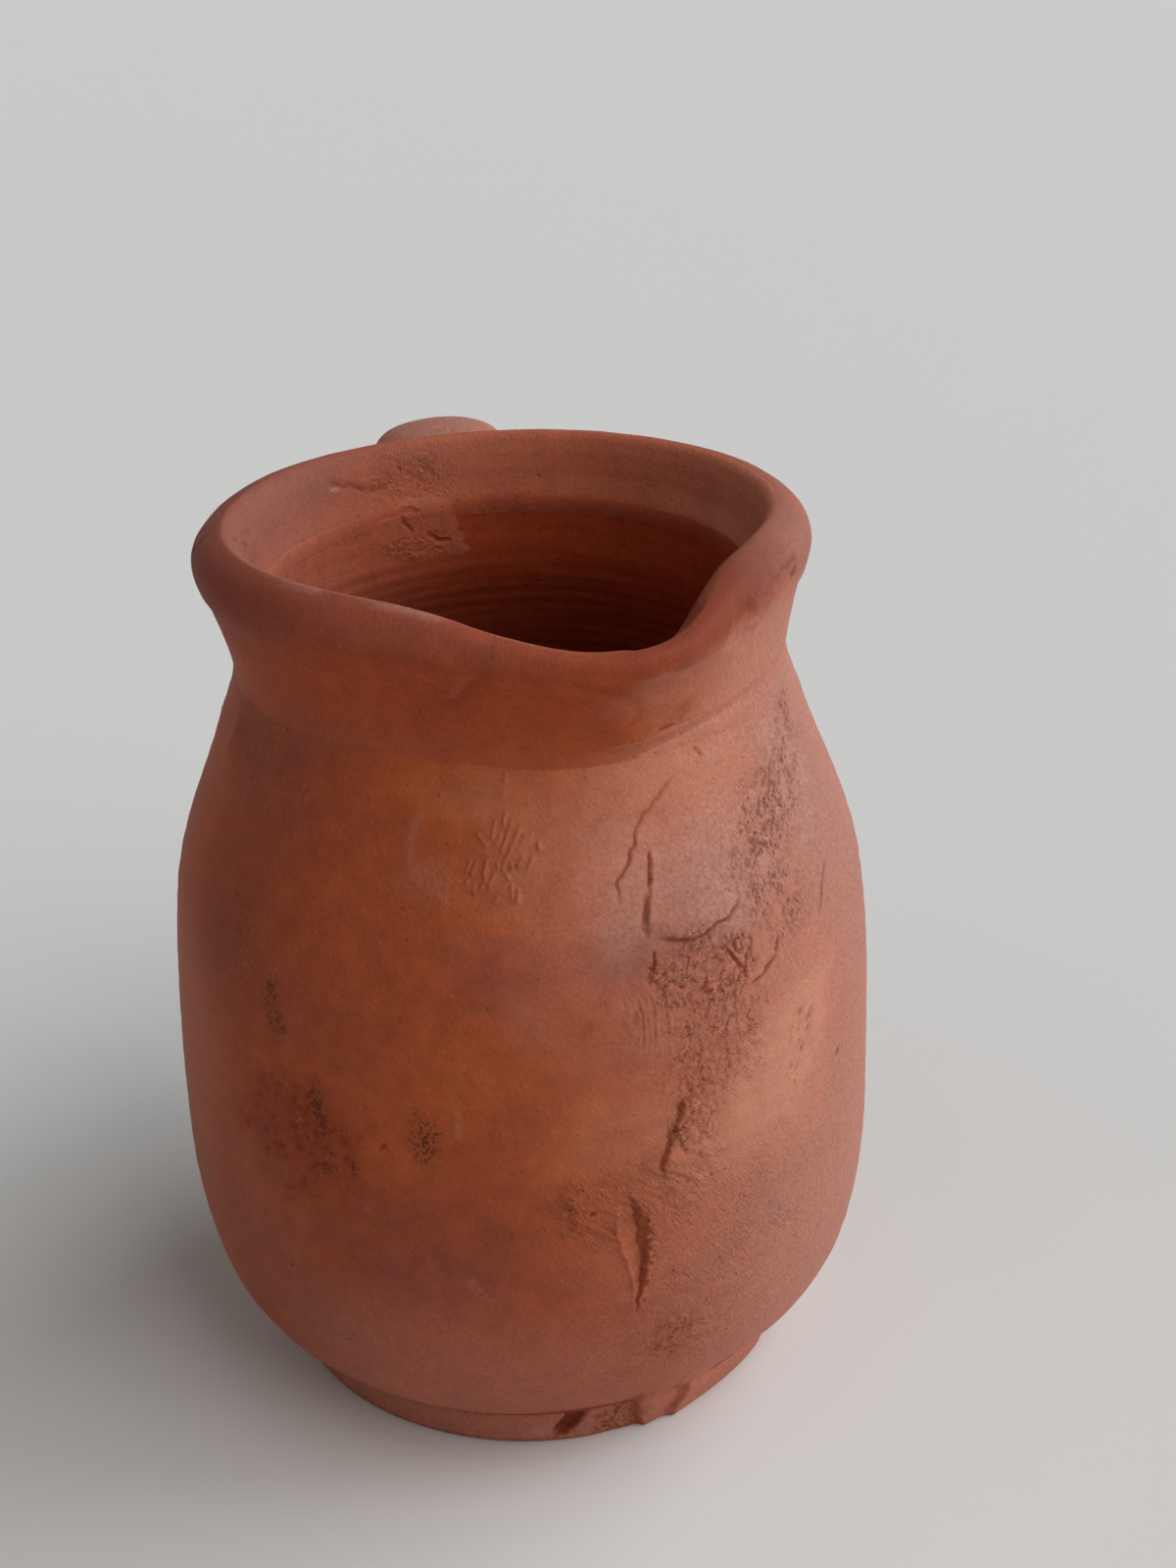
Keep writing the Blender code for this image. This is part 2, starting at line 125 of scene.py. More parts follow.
class ClaySkin:
    """The skin of a piece while the clay is soft enough to mark.

    A place on it is a turn in degrees from the front towards the right, and a height. All
    lengths are in millimetres. Marks add up in relief, which is outwards, and in the tints
    that the clay's finish reads. face is the share of each mark that reaches each point, and
    girth the radius at which drawn lines are laid flat.
    """

    def __init__(self, piece):
        mesh = piece.data
        count = len(mesh.vertices)
        places = np.empty(count * 3, np.float32)
        mesh.vertices.foreach_get("co", places)
        normals = np.empty(count * 3, np.float32)
        mesh.vertex_normals.foreach_get("vector", normals)
        self.piece = piece
        self.points = places.reshape(-1, 3).astype(float) / MM
        self.normals = normals.reshape(-1, 3).astype(float)
        x, y, self.height = self.points.T
        self.radius = np.hypot(x, y)
        self.girth = np.median(self.radius)
        self.turn = np.degrees(np.arctan2(x, -y))
        facing = (x * self.normals[:, 0] + y * self.normals[:, 1]) / np.maximum(self.radius, 1)
        self.outside = (facing > 0).astype(float)
        self.face = 1
        self.relief = np.zeros(count)
        self.tints = {tint: np.zeros(count) for tint in TINTS}

    def turn_from(self, turn):
        return (self.turn - turn + 180) % 360 - 180

    def above(self, height, ease):
        return smooth((self.height - height) / ease)

    def below(self, height, ease):
        return smooth((height - self.height) / ease)

    def between(self, start, rise, end, fall):
        """1 between two turns, easing in and out over these angles."""
        return smooth((self.turn - start) / rise) * smooth((end - self.turn) / fall)

    def lumps(self, size, seed, stretch=1):
        """Solid noise from about -1 to 1, in lumps of this size, drawn out upwards by the stretch."""
        scaled = self.points / (size, size, size * stretch) + seed * 17.3
        return np.array([noise.noise(place) for place in scaled.tolist()])

    def uneven(self, seed, *swells):
        """The unevenness of hand work: lumps of several heights and sizes on each other."""
        return sum(height * self.lumps(size, seed + step) for step, (height, size) in enumerate(swells))

    def on_skin(self, mask, size, stretch, slant, seed):
        """The points in a mask, and their places on the flattened skin in units of the size."""
        chosen = np.flatnonzero(mask > 0.002)
        across = np.radians(self.turn[chosen]) * self.radius[chosen]
        lean = math.radians(slant)
        along = self.height[chosen] * math.cos(lean) + across * math.sin(lean)
        over = across * math.cos(lean) - self.height[chosen] * math.sin(lean)
        flat = zip((over / size).tolist(), (along / (size * stretch)).tolist())
        return chosen, [(a, b, seed * 7.7) for a, b in flat]

    def strokes(self, mask, size, seed, stretch=1, slant=0):
        """Noise on the skin inside a mask, drawn out along a slant in degrees from upright."""
        values = np.zeros_like(mask)
        chosen, places = self.on_skin(mask, size, stretch, slant, seed)
        values[chosen] = [noise.noise(place) for place in places]
        return values

    def patch(self, turn, height, wide, tall, edge=0.6, ragged=0, seed=0, slant=0):
        """1 inside an oval of these half sizes, easing to 0 across its edge."""
        across = np.radians(self.turn_from(turn)) * self.radius
        up = self.height - height
        lean = math.radians(slant)
        over = (across * math.cos(lean) - up * math.sin(lean)) / wide
        along = (up * math.cos(lean) + across * math.sin(lean)) / tall
        reach = np.hypot(over, along)
        if ragged:
            near = (reach < 2).astype(float)
            reach = reach + ragged * self.strokes(near, min(wide, tall) / 2.2, seed + 1)
            reach = reach + ragged / 2 * self.strokes(near, min(wide, tall) / 6, seed + 2)
        return smooth((1 - reach) / edge + 0.5) * self.face

    def line(self, route, wander=0, seed=0):
        """Each point's distance from a drawn line, its side (1 on the right) and its share of the way."""
        corners = [(math.radians(turn) * self.girth, height) for turn, height in route]
        across = np.radians(self.turn) * self.girth
        up = self.height.copy()
        if wander:
            lows, highs = np.min(corners, 0) - 10, np.max(corners, 0) + 10
            near = (across > lows[0]) & (across < highs[0]) & (up > lows[1]) & (up < highs[1])
            near = near.astype(float)
            across = across + wander * self.strokes(near, 1.7, seed)
            up = up + wander * self.strokes(near, 1.7, seed + 1)
        lengths = [math.dist(start, end) for start, end in zip(corners, corners[1:])]
        gap = np.full(len(up), 1e9)
        side = np.zeros(len(up))
        share = np.zeros(len(up))
        walked = 0
        for (ax, ay), (bx, by), length in zip(corners, corners[1:], lengths):
            dx, dy = (bx - ax) / length, (by - ay) / length
            along = np.clip((across - ax) * dx + (up - ay) * dy, 0, length)
            ex, ey = across - ax - along * dx, up - ay - along * dy
            distance = np.hypot(ex, ey)
            closer = distance < gap
            gap = np.where(closer, distance, gap)
            side = np.where(closer, np.sign(ex * dy - ey * dx), side)
            share = np.where(closer, (walked + along) / sum(lengths), share)
            walked += length
        return gap, side, share

    def stain(self, tint, amount):
        self.tints[tint] = np.maximum(self.tints[tint], amount * self.face)

    def bake(self, amount):
        """Shifts the tone: up towards tan, down towards purple. It carries the kiln's colour and, in
        places, painted light and shade.
        """
        self.tints["tone"] = self.tints["tone"] + amount

    def crack(self, route, width, depth, wander=0.35, seed=0, dark=1):
        """A narrow split along a drawn line, closing towards both ends and painted dark inside as shade."""
        gap, _, share = self.line(route, wander, seed)
        ends = smooth(6 * share) * smooth(6 * (1 - share))
        split = bell(gap / width) * ends * self.face
        self.relief -= depth * split
        self.stain("hollow_shade", dark * split)

    def ledge(self, route, rise, run, fade, wander=0.35, seed=0, dark=0.6):
        """Clay that stands proud on the right of a drawn line, and sinks back away from it. The foot of the
        step is painted dark as shade.
        """
        gap, side, share = self.line(route, wander, seed)
        beyond = gap * side
        ends = smooth(5 * share) * smooth(5 * (1 - share)) * self.face
        self.relief += rise * smooth(beyond / run + 0.5) * np.exp(-np.maximum(beyond, 0) / fade) * ends
        self.stain("hollow_shade", dark * bell((beyond + run / 2) / (0.7 * run)) * ends)

    def ridge(self, route, width, rise, wander=0.3, seed=0, scuff_and_painted_light=0.5):
        """A thin raised line of dragged clay, worn pale."""
        gap, _, share = self.line(route, wander, seed)
        ends = smooth(7 * share) * smooth(7 * (1 - share))
        crest = bell(gap / width) * ends * self.face
        self.relief += rise * crest
        self.stain("scuff_and_painted_light", scuff_and_painted_light * crest)

    def pits(self, mask, size, depth, seed, few=0.25, dark=1, stretch=1, slant=0):
        """Small holes inside a mask, painted dark inside as shade. few is nearer 1 for fewer of them."""
        holes = smooth((self.strokes(mask, size, seed, stretch, slant) - few) / 0.22) * mask
        self.relief -= depth * holes
        self.stain("hollow_shade", dark * holes)

    def tear(self, mask, size, depth, seed, stretch=1.6, slant=0, dark=0.5):
        """Torn clay inside a mask: lumps at slightly different heights, with broken cracks between them.
        The cracks are painted dark as shade, and the raised side of each is paler, dust and a painted
        highlight.
        """
        self.relief += 0.7 * depth * mask * self.strokes(mask, size * 0.4, seed, stretch, slant)
        for scale, share in ((1, 1), (0.5, 0.7)):
            field = self.strokes(mask, size * scale, seed + 3, stretch, slant)
            broken = smooth(0.65 + 3 * self.strokes(mask, size * 1.3 * scale, seed + 4)) * mask * share
            cracks = smooth(1 - np.abs(field) / 0.1) * broken
            lifted = np.clip(field / 0.08, -1, 1) * np.exp(-np.abs(field) / 0.3) * broken
            self.relief += depth * (0.45 * lifted - 0.8 * cracks)
            self.stain("hollow_shade", dark * cracks)
            self.stain("scuff_and_painted_light", 0.5 * dark * np.maximum(lifted, 0))
        self.stain("torn", mask)
        self.stain("rough", 0.4 * mask)

    def set(self):
        """Moves the points by their relief and hands the tints to the mesh."""
        mesh = self.piece.data
        marked = self.points + self.normals * self.relief[:, None]
        mesh.vertices.foreach_set("co", (marked * MM).astype(np.float32).ravel())
        for tint, values in self.tints.items():
            mesh.attributes.new(tint, "FLOAT", "POINT").data.foreach_set("value", values.astype(np.float32))
        mesh.update()
        mesh.shade_smooth()


def fired_clay(name, red_stop, orange_stop, cloud=0.4, grit=1.0):
    """Unglazed fired clay: kiln clouds between four tones, mottling, brush strokes and the skin's marks,
    with pinholes, gaps, cracks and hollows painted dark as shade.
    """
    tones = ((0, PURPLE_BROWN), (red_stop, RED_BROWN), (orange_stop, ORANGE_BROWN), (1, TAN))
    material = bpy.data.materials.new(name)
    material.use_nodes = True
    tree = material.node_tree
    shader = tree.nodes["Principled BSDF"]

    def put(kind, sockets, **settings):
        made = tree.nodes.new("ShaderNode" + kind)
        for setting, value in settings.items():
            setattr(made, setting, value)
        for socket, value in sockets.items():
            if isinstance(value, bpy.types.NodeSocket):
                tree.links.new(value, made.inputs[socket])
            else:
                made.inputs[socket].default_value = value
        return made

    def times(first, second):
        return put("Math", {0: first, 1: second}, operation="MULTIPLY").outputs[0]

    def plus(first, second):
        return put("Math", {0: first, 1: second}, operation="ADD").outputs[0]

    def ranged(value, low, high, to_low, to_high):
        return put("MapRange", {0: value, 1: low, 2: high, 3: to_low, 4: to_high}).outputs[0]

    def mixed(share, under, over, blend="MIX"):
        sockets = {0: share, 6: under, 7: over}
        return put("Mix", sockets, data_type="RGBA", blend_type=blend).outputs[2]

    def tint(attribute):
        return put("Attribute", {}, attribute_name=attribute).outputs["Fac"]

    place = put("TexCoord", {}).outputs["Object"]

    def clouds(size, detail, vector=place):
        sockets = {"Vector": vector, "Scale": 1 / size, "Detail": detail, "Roughness": 0.6}
        return put("TexNoise", sockets).outputs["Fac"]

    def dots(size, vector, inner, outer):
        sockets = {"Vector": vector, "Scale": 1 / size, "Randomness": 1}
        return ranged(put("TexVoronoi", sockets).outputs["Distance"], inner, outer, 1, 0)

    # The jug is wound round its axis by its height, so that upright noise gives slanting strokes
    rise = put("SeparateXYZ", {0: place}).outputs["Z"]
    winding = {"Vector": place, "Angle": times(rise, STROKE_TWIST)}
    wound = put("VectorRotate", winding, rotation_type="Z_AXIS").outputs[0]

    def drawn_out(upright):
        return put("VectorMath", {0: wound, 1: (1, 1, upright)}, operation="MULTIPLY").outputs[0]

    slanted = drawn_out(0.4)
    brushed = drawn_out(0.75)

    def veins(size, width):
        ridge = put("Math", {0: clouds(size, 2), 1: 0.5}, operation="SUBTRACT").outputs[0]
        return ranged(put("Math", {0: ridge}, operation="ABSOLUTE").outputs[0], 0, width, 1, 0)

    torn = tint("torn")
    rough = tint("rough")
    kiln = ranged(clouds(0.034, 3), 0.3, 0.7, -cloud, cloud)
    tone = plus(kiln, tint("tone"))
    ramp = put("ValToRGB", {"Fac": ranged(tone, -1, 1, 0, 1)})
    stops = ramp.color_ramp.elements
    while len(stops) < len(tones):
        stops.new(0.5)
    for stop, (position, colour) in zip(stops, tones):
        stop.position = position
        stop.color = colour
    mottle = clouds(0.0042, 4)
    grain = clouds(0.0005, 2)
    fibres = clouds(0.00055, 2, slanted)
    colour = mixed(tint("red"), ramp.outputs["Color"], IRON_RED)
    for pattern, dark, light in (
        (mottle, 0.87, 1.10),
        (grain, 1 - 0.10 * grit, 1 + 0.08 * grit),
        (fibres, 0.93, 1.06),
    ):
        colour = mixed(1, colour, ranged(pattern, 0.3, 0.7, dark, light), "MULTIPLY")
    pocked = plus(times(rough, 0.7), ranged(clouds(0.006, 1), 0.5, 0.7, 0, 0.7 * grit))
    # Pinholes and the gaps in crumbled clay are painted dark as shade
    pinholes = times(dots(0.0023, place, 0.09, 0.18), pocked)
    colour = mixed(times(pinholes, 0.5), colour, CRACK_SHADE_BROWN)
    crumbled = times(rough, ranged(clouds(0.0045, 2), 0.42, 0.58, 0.1, 1))
    gaps = times(ranged(clouds(0.0007, 3, slanted), 0.56, 0.64, 0, 1), crumbled)
    colour = mixed(times(gaps, 0.32), colour, CRACK_SHADE_BROWN)
    frayed = plus(ranged(clouds(0.004, 2), 0.5, 0.66, 0, 0.35 * grit), crumbled)
    flecks = times(dots(0.0012, brushed, 0.09, 0.2), frayed)
    colour = mixed(times(flecks, 0.85), colour, CLAY_DUST_AND_PAINTED_LIGHT)
    # Crackle in torn clay, painted dark as shade
    splits = times(veins(0.0034, 0.02), ranged(clouds(0.0027, 1), 0.44, 0.56, 0, 1))
    crumbs = times(veins(0.0016, 0.03), ranged(mottle, 0.44, 0.58, 0, 0.5))
    crackle = times(plus(splits, crumbs), torn)
    colour = mixed(times(crackle, 0.3), colour, CRACK_SHADE_BROWN)
    # The skin's painted shade, and its pale dust, which in places stands for painted light
    hollow_shade = tint("hollow_shade")
    worn = times(tint("scuff_and_painted_light"), ranged(clouds(0.0007, 3), 0.32, 0.62, 0.5, 1))
    colour = mixed(times(worn, ranged(hollow_shade, 0, 0.8, 1, 0.15)), colour, CLAY_DUST_AND_PAINTED_LIGHT)
    colour = mixed(times(hollow_shade, 0.8), colour, CRACK_SHADE_BROWN)
    specks = ranged(clouds(0.0006, 3), 0.5, 0.58, 0.14, 0.85)
    colour = mixed(times(tint("soot"), specks), colour, KILN_SOOT)
    tree.links.new(colour, shader.inputs["Base Color"])
    tree.links.new(ranged(mottle, 0.3, 0.7, 0.50, 0.64), shader.inputs["Roughness"])
    shader.inputs["Specular IOR Level"].default_value = 0.06
    bump = put("Bump", {"Strength": 0.22, "Distance": 0.0004, "Height": mottle})
    for strength, depth, height in (
        (ranged(rough, 0, 1, 0.16, 0.7), 0.0006, fibres),
        (ranged(rough, 0, 1, 0.22, 0.8), 0.0005, grain),
        (0.8, -0.0003, pinholes),
        (0.5, -0.0004, gaps),
        (0.8, 0.0004, flecks),
        (0.7, -0.0005, crackle),
    ):
        sockets = {"Strength": strength, "Distance": depth, "Height": height, "Normal": bump.outputs[0]}
        bump = put("Bump", sockets)
    tree.links.new(bump.outputs[0], shader.inputs["Normal"])
    return material


foot_round = [
    (FOOT_RADIUS - FOOT_EDGE_ROUND * (1 - math.cos(turn)), FOOT_EDGE_ROUND * (1 - math.sin(turn)))
    for turn in np.linspace(0, math.pi / 2, 5)
]
foot_under = [(radius, 0) for radius in np.linspace(FOOT_RADIUS - FOOT_EDGE_ROUND, 0, 30)[1:]]
side_heights = np.linspace(FOOT_THICKNESS - FOOT_TOP_BEVEL, FOOT_EDGE_ROUND, 7)[:-1]
foot_side = [(FOOT_RADIUS, height) for height in side_heights]
foot_top = [(radius, FOOT_THICKNESS) for radius in (0, 12, 24, 34, 41, 45, FOOT_RADIUS - FOOT_TOP_BEVEL)]
foot = throw("clay_foot", foot_top + foot_side + foot_round + foot_under, FOOT_SEGMENTS)
refine(foot, lambda turn, height, radius: (turn > -25) & (turn < 45) & (radius > 43))
refine(foot, lambda turn, height, radius: (turn > -15) & (turn < 30) & (radius > 46))
skin = ClaySkin(foot)
side_of_foot = smooth((skin.radius - 44) / 2) * skin.above(0.2, 1.2)
skin.relief += side_of_foot * skin.uneven(1, (0.35, 18), (0.14, 4))
pressed_out = skin.above(1, 5.5) * smooth((skin.radius - 46) / 1.2)
skin.relief += pressed_out * (0.7 + 1.1 * skin.patch(42, 5, 24, 20, 0.6))
under_foot = skin.below(0.3, 0.2)
wire_arcs = np.hypot(skin.points[:, 0] - WIRE_CENTRE[0], skin.points[:, 1] - WIRE_CENTRE[1])
wire_arcs += 1.5 * skin.lumps(30, 3)
skin.relief -= under_foot * WIRE_DEPTH * (0.5 + 0.5 * np.sin(2 * math.pi * wire_arcs / WIRE_STEP))
skin.face = smooth((skin.radius - 45.5) / 1.2) * skin.above(0, 0.9)
# A chip, painted dark inside as shade
chip = skin.patch(-5.8, 4.6, 3.6, 1.5, edge=0.7, ragged=0.25, seed=4, slant=-52)
skin.relief -= 1.5 * chip
skin.stain("hollow_shade", 0.95 * chip)
skin.stain("scuff_and_painted_light", 0.5 * skin.patch(-12, 3.2, 3.2, 2.0, edge=1.2, ragged=0.4, seed=9))
torn_side = skin.patch(4.5, 3.6, 4.6, 4.2, edge=0.8, ragged=0.3, seed=5)
skin.relief -= 0.5 * torn_side
skin.tear(torn_side, 2.0, 0.5, 6, 1.0, -30, 0.3)
skin.ledge(((10.6, -2), (9.4, 4), (8.6, 9)), 0.9, 1.4, 4, 0.6, 7, 0.3)
skin.ledge(((15.4, -1), (17.6, 2), (20.8, 9)), 0.9, 1.2, 5, 0.6, 8, 0.3)
# Chips round the edge, painted dark inside as shade
for chip_turn, chip_height, chip_size in EDGE_CHIPS:
    chip = skin.patch(chip_turn, chip_height, chip_size, 1.3, edge=0.8, ragged=0.3, seed=chip_turn)
    skin.relief -= 0.9 * chip
    skin.stain("hollow_shade", 0.6 * chip)
skin.face = 1
skin.stain("scuff_and_painted_light", 0.36 * side_of_foot)
skin.bake(0.1 - 0.3 * skin.below(4, 4))
skin.set()
foot.data.materials.append(fired_clay("foot_clay", 0.38, 0.75))
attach(foot, "root")
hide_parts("foot")

# Foot slip: the ring of liquid clay that glued the wall to the foot. It was squeezed out as a
# thin bead when the wall was pressed down, and fired with the rest.
FOOT_SLIP_LOW = 7.3
FOOT_SLIP_HIGH = 8.3
FOOT_SLIP_INNER = 42.4
FOOT_SLIP_FLAT = 46.4
FOOT_SLIP_SHOULDER = 47.4
FOOT_SLIP_BEAD = 48.0
FOOT_SLIP_BEAD_ROUND = 0.12
slip_middle = (FOOT_SLIP_LOW + FOOT_SLIP_HIGH) / 2
foot_slip_outline = [
    (FOOT_SLIP_INNER, FOOT_SLIP_HIGH),
    (FOOT_SLIP_FLAT, FOOT_SLIP_HIGH),
    (FOOT_SLIP_SHOULDER, slip_middle + 0.55),
    (FOOT_SLIP_BEAD - FOOT_SLIP_BEAD_ROUND, slip_middle + 0.3),
    (FOOT_SLIP_BEAD, slip_middle),
    (FOOT_SLIP_BEAD - FOOT_SLIP_BEAD_ROUND, slip_middle - 0.3),
    (FOOT_SLIP_SHOULDER, slip_middle - 0.6),
    (FOOT_SLIP_FLAT, FOOT_SLIP_LOW),
    (FOOT_SLIP_INNER, FOOT_SLIP_LOW),
    (FOOT_SLIP_INNER, FOOT_SLIP_HIGH),
]
foot_slip = throw("slip_under_wall", foot_slip_outline, FOOT_SEGMENTS)
skin = ClaySkin(foot_slip)
bead = smooth((skin.radius - 46.6) / 0.8)
skin.relief += bead * (0.3 + skin.uneven(11, (0.18, 5), (0.12, 1.8)))
skin.relief += 1.2 * bead * skin.patch(42, 8, 24, 20, 0.6)
skin.bake(-0.3)
skin.stain("hollow_shade", 0.15)
skin.set()
slip_clay = fired_clay("slip_clay", 0.45, 0.8, grit=0.6)
foot_slip.data.materials.append(slip_clay)
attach(foot_slip, "root")
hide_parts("foot_slip")

# Body wall: the thrown belly of the jug, about 6 mm of terracotta. It was handled while damp,
# so its right front is torn, smeared and gouged, and the kiln left clouds and soot on it.
WALL_THICKNESS = 6.2
SEAT_INNER = 41.8
SEAT_HEIGHT = 7.9
WALL_SEGMENTS = 200
WALL_RINGS = 67
WALL_LEVELS = ((49.0, 8.4), (59.7, 22.3), (62.6, 46.0), (60.2, 94.0), (50.6, 122.2), (46.5, 136.0))
NECK_RADIUS = 46.5
NECK_HEIGHT = 136.0
RIM_HEIGHT = 157.0
THROAT_RISE = 9.0
THROAT_EASE = 0.7
SEAM_HALF = 0.6
SPOUT_TURN = 7
SPOUT_PULL = 14.5
SPOUT_DROP = 3.5
SPOUT_HALF_ANGLE = 22
SPOUT_PINCH = 4.3
PINCH_HALF_ANGLE = 70
SPOUT_EASE = 1.5
SPOUT_LEFT_SPREAD = 1.18
PINCH_LEFT_SPREAD = 1.15
COLLAR_DIP = 3.0
DIP_HALF_ANGLE = 26
DIP_HALF_HEIGHT = 5
DIP_BULGE = 0.16
FINE_ZONES = (
    (-72, 72, 10, 134.4),
    (3, 35, 62, 131), (-8, 13, 36, 62), (32, 58, 96, 129), (-24, -4, 108, 129), (-16, -12, 130.6, 134.4),
    (-15, -12.8, 131.8, 133.8), (118, 152, 34, 78), (4, 17, 24, 36),
    (3, 31, 80, 120), (5, 20, 62, 80), (0, 8, 38, 62), (-21, -7, 112, 127), (31, 50, 104, 122),
)


def wall_radius(heights):
    """The wall's outer radius: a cubic between levels, upright at the neck and smooth at each level."""
    radii, levels = np.array(WALL_LEVELS).T
    chords = np.diff(radii) / np.diff(levels)
    between = np.sign(chords[:-1]) * np.sqrt(np.maximum(chords[:-1] * chords[1:], 0))
    slopes = np.array([2 * chords[0] - between[0], *between, 0])
    heights = np.asarray(heights, float)
    index = np.clip(np.searchsorted(levels, heights) - 1, 0, len(chords) - 1)
    rise = levels[index + 1] - levels[index]
    t = (heights - levels[index]) / rise
    return (
        radii[index] * (1 + 2 * t) * (1 - t) ** 2
        + radii[index + 1] * t * t * (3 - 2 * t)
        + rise * t * (1 - t) * (slopes[index] * (1 - t) - slopes[index + 1] * t)
    )


def seam_point(inwards, across):
    """A point in the bevelled joint under the collar, from 0 at the outer face to 1 at the throat."""
    length = math.hypot(WALL_THICKNESS, THROAT_RISE)
    return (
        NECK_RADIUS - WALL_THICKNESS * inwards + THROAT_RISE / length * across,
        NECK_HEIGHT + THROAT_RISE * inwards + WALL_THICKNESS / length * across,
    )


def pull_spout(skin):
    """Draws the lip out and down in front, pinches it in beside that, and lets the neck sag under it."""
    lift = np.clip((skin.height - NECK_HEIGHT) / (RIM_HEIGHT - NECK_HEIGHT), 0, 1)
    give = lift**SPOUT_EASE
    away = skin.turn_from(SPOUT_TURN)
    spout_width = SPOUT_HALF_ANGLE * np.where(away < 0, SPOUT_LEFT_SPREAD, 1)
    pinch_width = PINCH_HALF_ANGLE * np.where(away < 0, PINCH_LEFT_SPREAD, 1)
    draw = bell(away / spout_width)
    pinch = bell((away / pinch_width) ** 2)
    shift = give * (SPOUT_PULL * draw - SPOUT_PINCH * pinch)
    sag = COLLAR_DIP * bell(away / DIP_HALF_ANGLE) * bell((skin.height - NECK_HEIGHT) / DIP_HALF_HEIGHT)
    spread = (skin.radius + shift + DIP_BULGE * sag) / skin.radius
    skin.points[:, :2] *= spread[:, None]
    skin.points[:, 2] -= give * SPOUT_DROP * draw + sag


outer_heights = np.linspace(seam_point(0, -SEAM_HALF)[1], WALL_LEVELS[0][1], WALL_RINGS)
wall_outside = list(zip(wall_radius(outer_heights), outer_heights))
wall_outside[0] = seam_point(0, -SEAM_HALF)
lean = np.gradient(wall_radius(outer_heights), outer_heights)
square = np.hypot(1, lean)
inner_radii = wall_radius(outer_heights) - WALL_THICKNESS / square
inner_heights = outer_heights + WALL_THICKNESS * lean / square
throat_radius, throat_height = seam_point(1, -SEAM_HALF)
throat = (throat_radius + THROAT_EASE, throat_height)
rise_order = np.argsort(inner_heights)
ring_heights = np.concatenate([np.linspace(9.5, 100, 26), np.arange(100.8, throat_height, 0.8), throat[1:]])
ring_radii = np.interp(ring_heights, inner_heights[rise_order], inner_radii[rise_order])
ring_radii += (throat[0] - ring_radii) * smooth((ring_heights - NECK_HEIGHT) / 8)
wall_inside = list(zip(ring_radii, ring_heights))
wall_inside[-1] = throat
seat = [(48.3, SEAT_HEIGHT + 0.05), *((radius, SEAT_HEIGHT) for radius in (46.5, 44, SEAT_INNER))]
bevel = [seam_point(share, -SEAM_HALF) for share in (0.8, 0.6, 0.4, 0.2)]
wall_outline = [*wall_outside, *seat, *wall_inside, *bevel, wall_outside[0]]
body_wall = throw("thrown_wall", wall_outline, WALL_SEGMENTS)
for turn_low, turn_high, height_low, height_high in FINE_ZONES:
    refine(
        body_wall,
        lambda turn, height, radius: (
            (turn > turn_low) & (turn < turn_high) & (height > height_low) & (height < height_high)
            & (radius > wall_radius(height) - 2)
        ),
    )
skin = ClaySkin(body_wall)
settled = skin.outside * skin.below(NECK_HEIGHT, 9)
inside = (1 - skin.outside) * skin.above(20, 10)
pull_spout(skin)
skin.girth = 60
outside = skin.outside * skin.below(NECK_HEIGHT, 0.5)
skin.relief += settled * skin.uneven(21, (0.42, 46), (0.16, 17), (0.05, 6))
skin.relief += settled * 0.05 * np.sin(2 * math.pi * skin.height / 4.1 + 2 * skin.lumps(40, 24))
skin.relief += settled * 0.035 * skin.lumps(2.2, 25)
rings = 0.14 * skin.lumps(24, 26, 0.075)
rings += 0.06 * np.sin(2 * math.pi * skin.height / 2.5 + 2 * skin.lumps(30, 27))
skin.relief += inside * skin.below(144, 6) * (rings + 0.25 * skin.lumps(40, 28))
skin.face = outside

# The smeared plate on the right of the shoulder, the torn clay under it and the cracks round them
skin.ledge(((8.4, 105.6), (9.0, 108.5), (10.2, 112), (10.9, 114), (11.6, 118.5)), 0.4, 0.6, 3.5, 0.2, 31, 0)
skin.crack(((8.3, 105.2), (8.7, 107.2), (9.1, 109.5), (9.7, 112)), 0.44, 0.34, 0.3, 32, 0.3)
skin.crack(((7.9, 106.2), (8.1, 107.4), (8.6, 109), (9.1, 110.6)), 0.32, 0.3, 0.3, 31, 0.4)
skin.crack(((10.0, 112.6), (10.5, 114.2), (10.7, 115.5), (11.3, 118.2)), 0.25, 0.4, 0.35, 33, 0.45)
skin.stain("scuff_and_painted_light", 0.7 * skin.patch(10.1, 112.5, 1.1, 0.4, 0.8))
plate_edge = (
    (27, 107.4), (25.2, 106), (22.6, 104.9), (18.7, 104.2), (16.5, 103.6), (14, 104.2), (9.6, 105.3),
)
skin.ledge(plate_edge, 0.45, 0.6, 3.2, 0.4, 34, 0)
skin.crack(plate_edge, 0.36, 0.4, 0.5, 34, 0.6)
hairline = (
    (5.6, 110.4), (4.9, 111.4), (4.7, 114.2), (7.2, 117.2),
    (8.8, 119.2), (10.6, 123), (14.8, 125.1), (20.1, 128.2),
)
skin.ledge(hairline, 0.16, 0.5, 2.5, 0.6, 35, 0)
skin.crack(hairline, 0.27, 0.26, 0.6, 35, 0.5)
torn = skin.patch(17.2, 98.4, 9.6, 6.4, 0.3, 0.3, 36)
skin.tear(torn, 2.9, 0.42, 37, 1.1, 20, 0.5)
frayed = skin.patch(18, 85.5, 9.6, 9.6, 0.7, 0.35, 38)
skin.tear(frayed * 0.8, 2.1, 0.34, 39, 1.4, 12, 0.35)
skin.ledge(((25.4, 92.8), (27.6, 94.2), (31.6, 96.6), (33.2, 100.6)), 0.3, 0.5, 3, 0.3, 40, 0)
skin.crack(((24.6, 92.9), (27.6, 94), (31.2, 96), (32.6, 99)), 0.22, 0.3, 0.4, 41, 0.7)
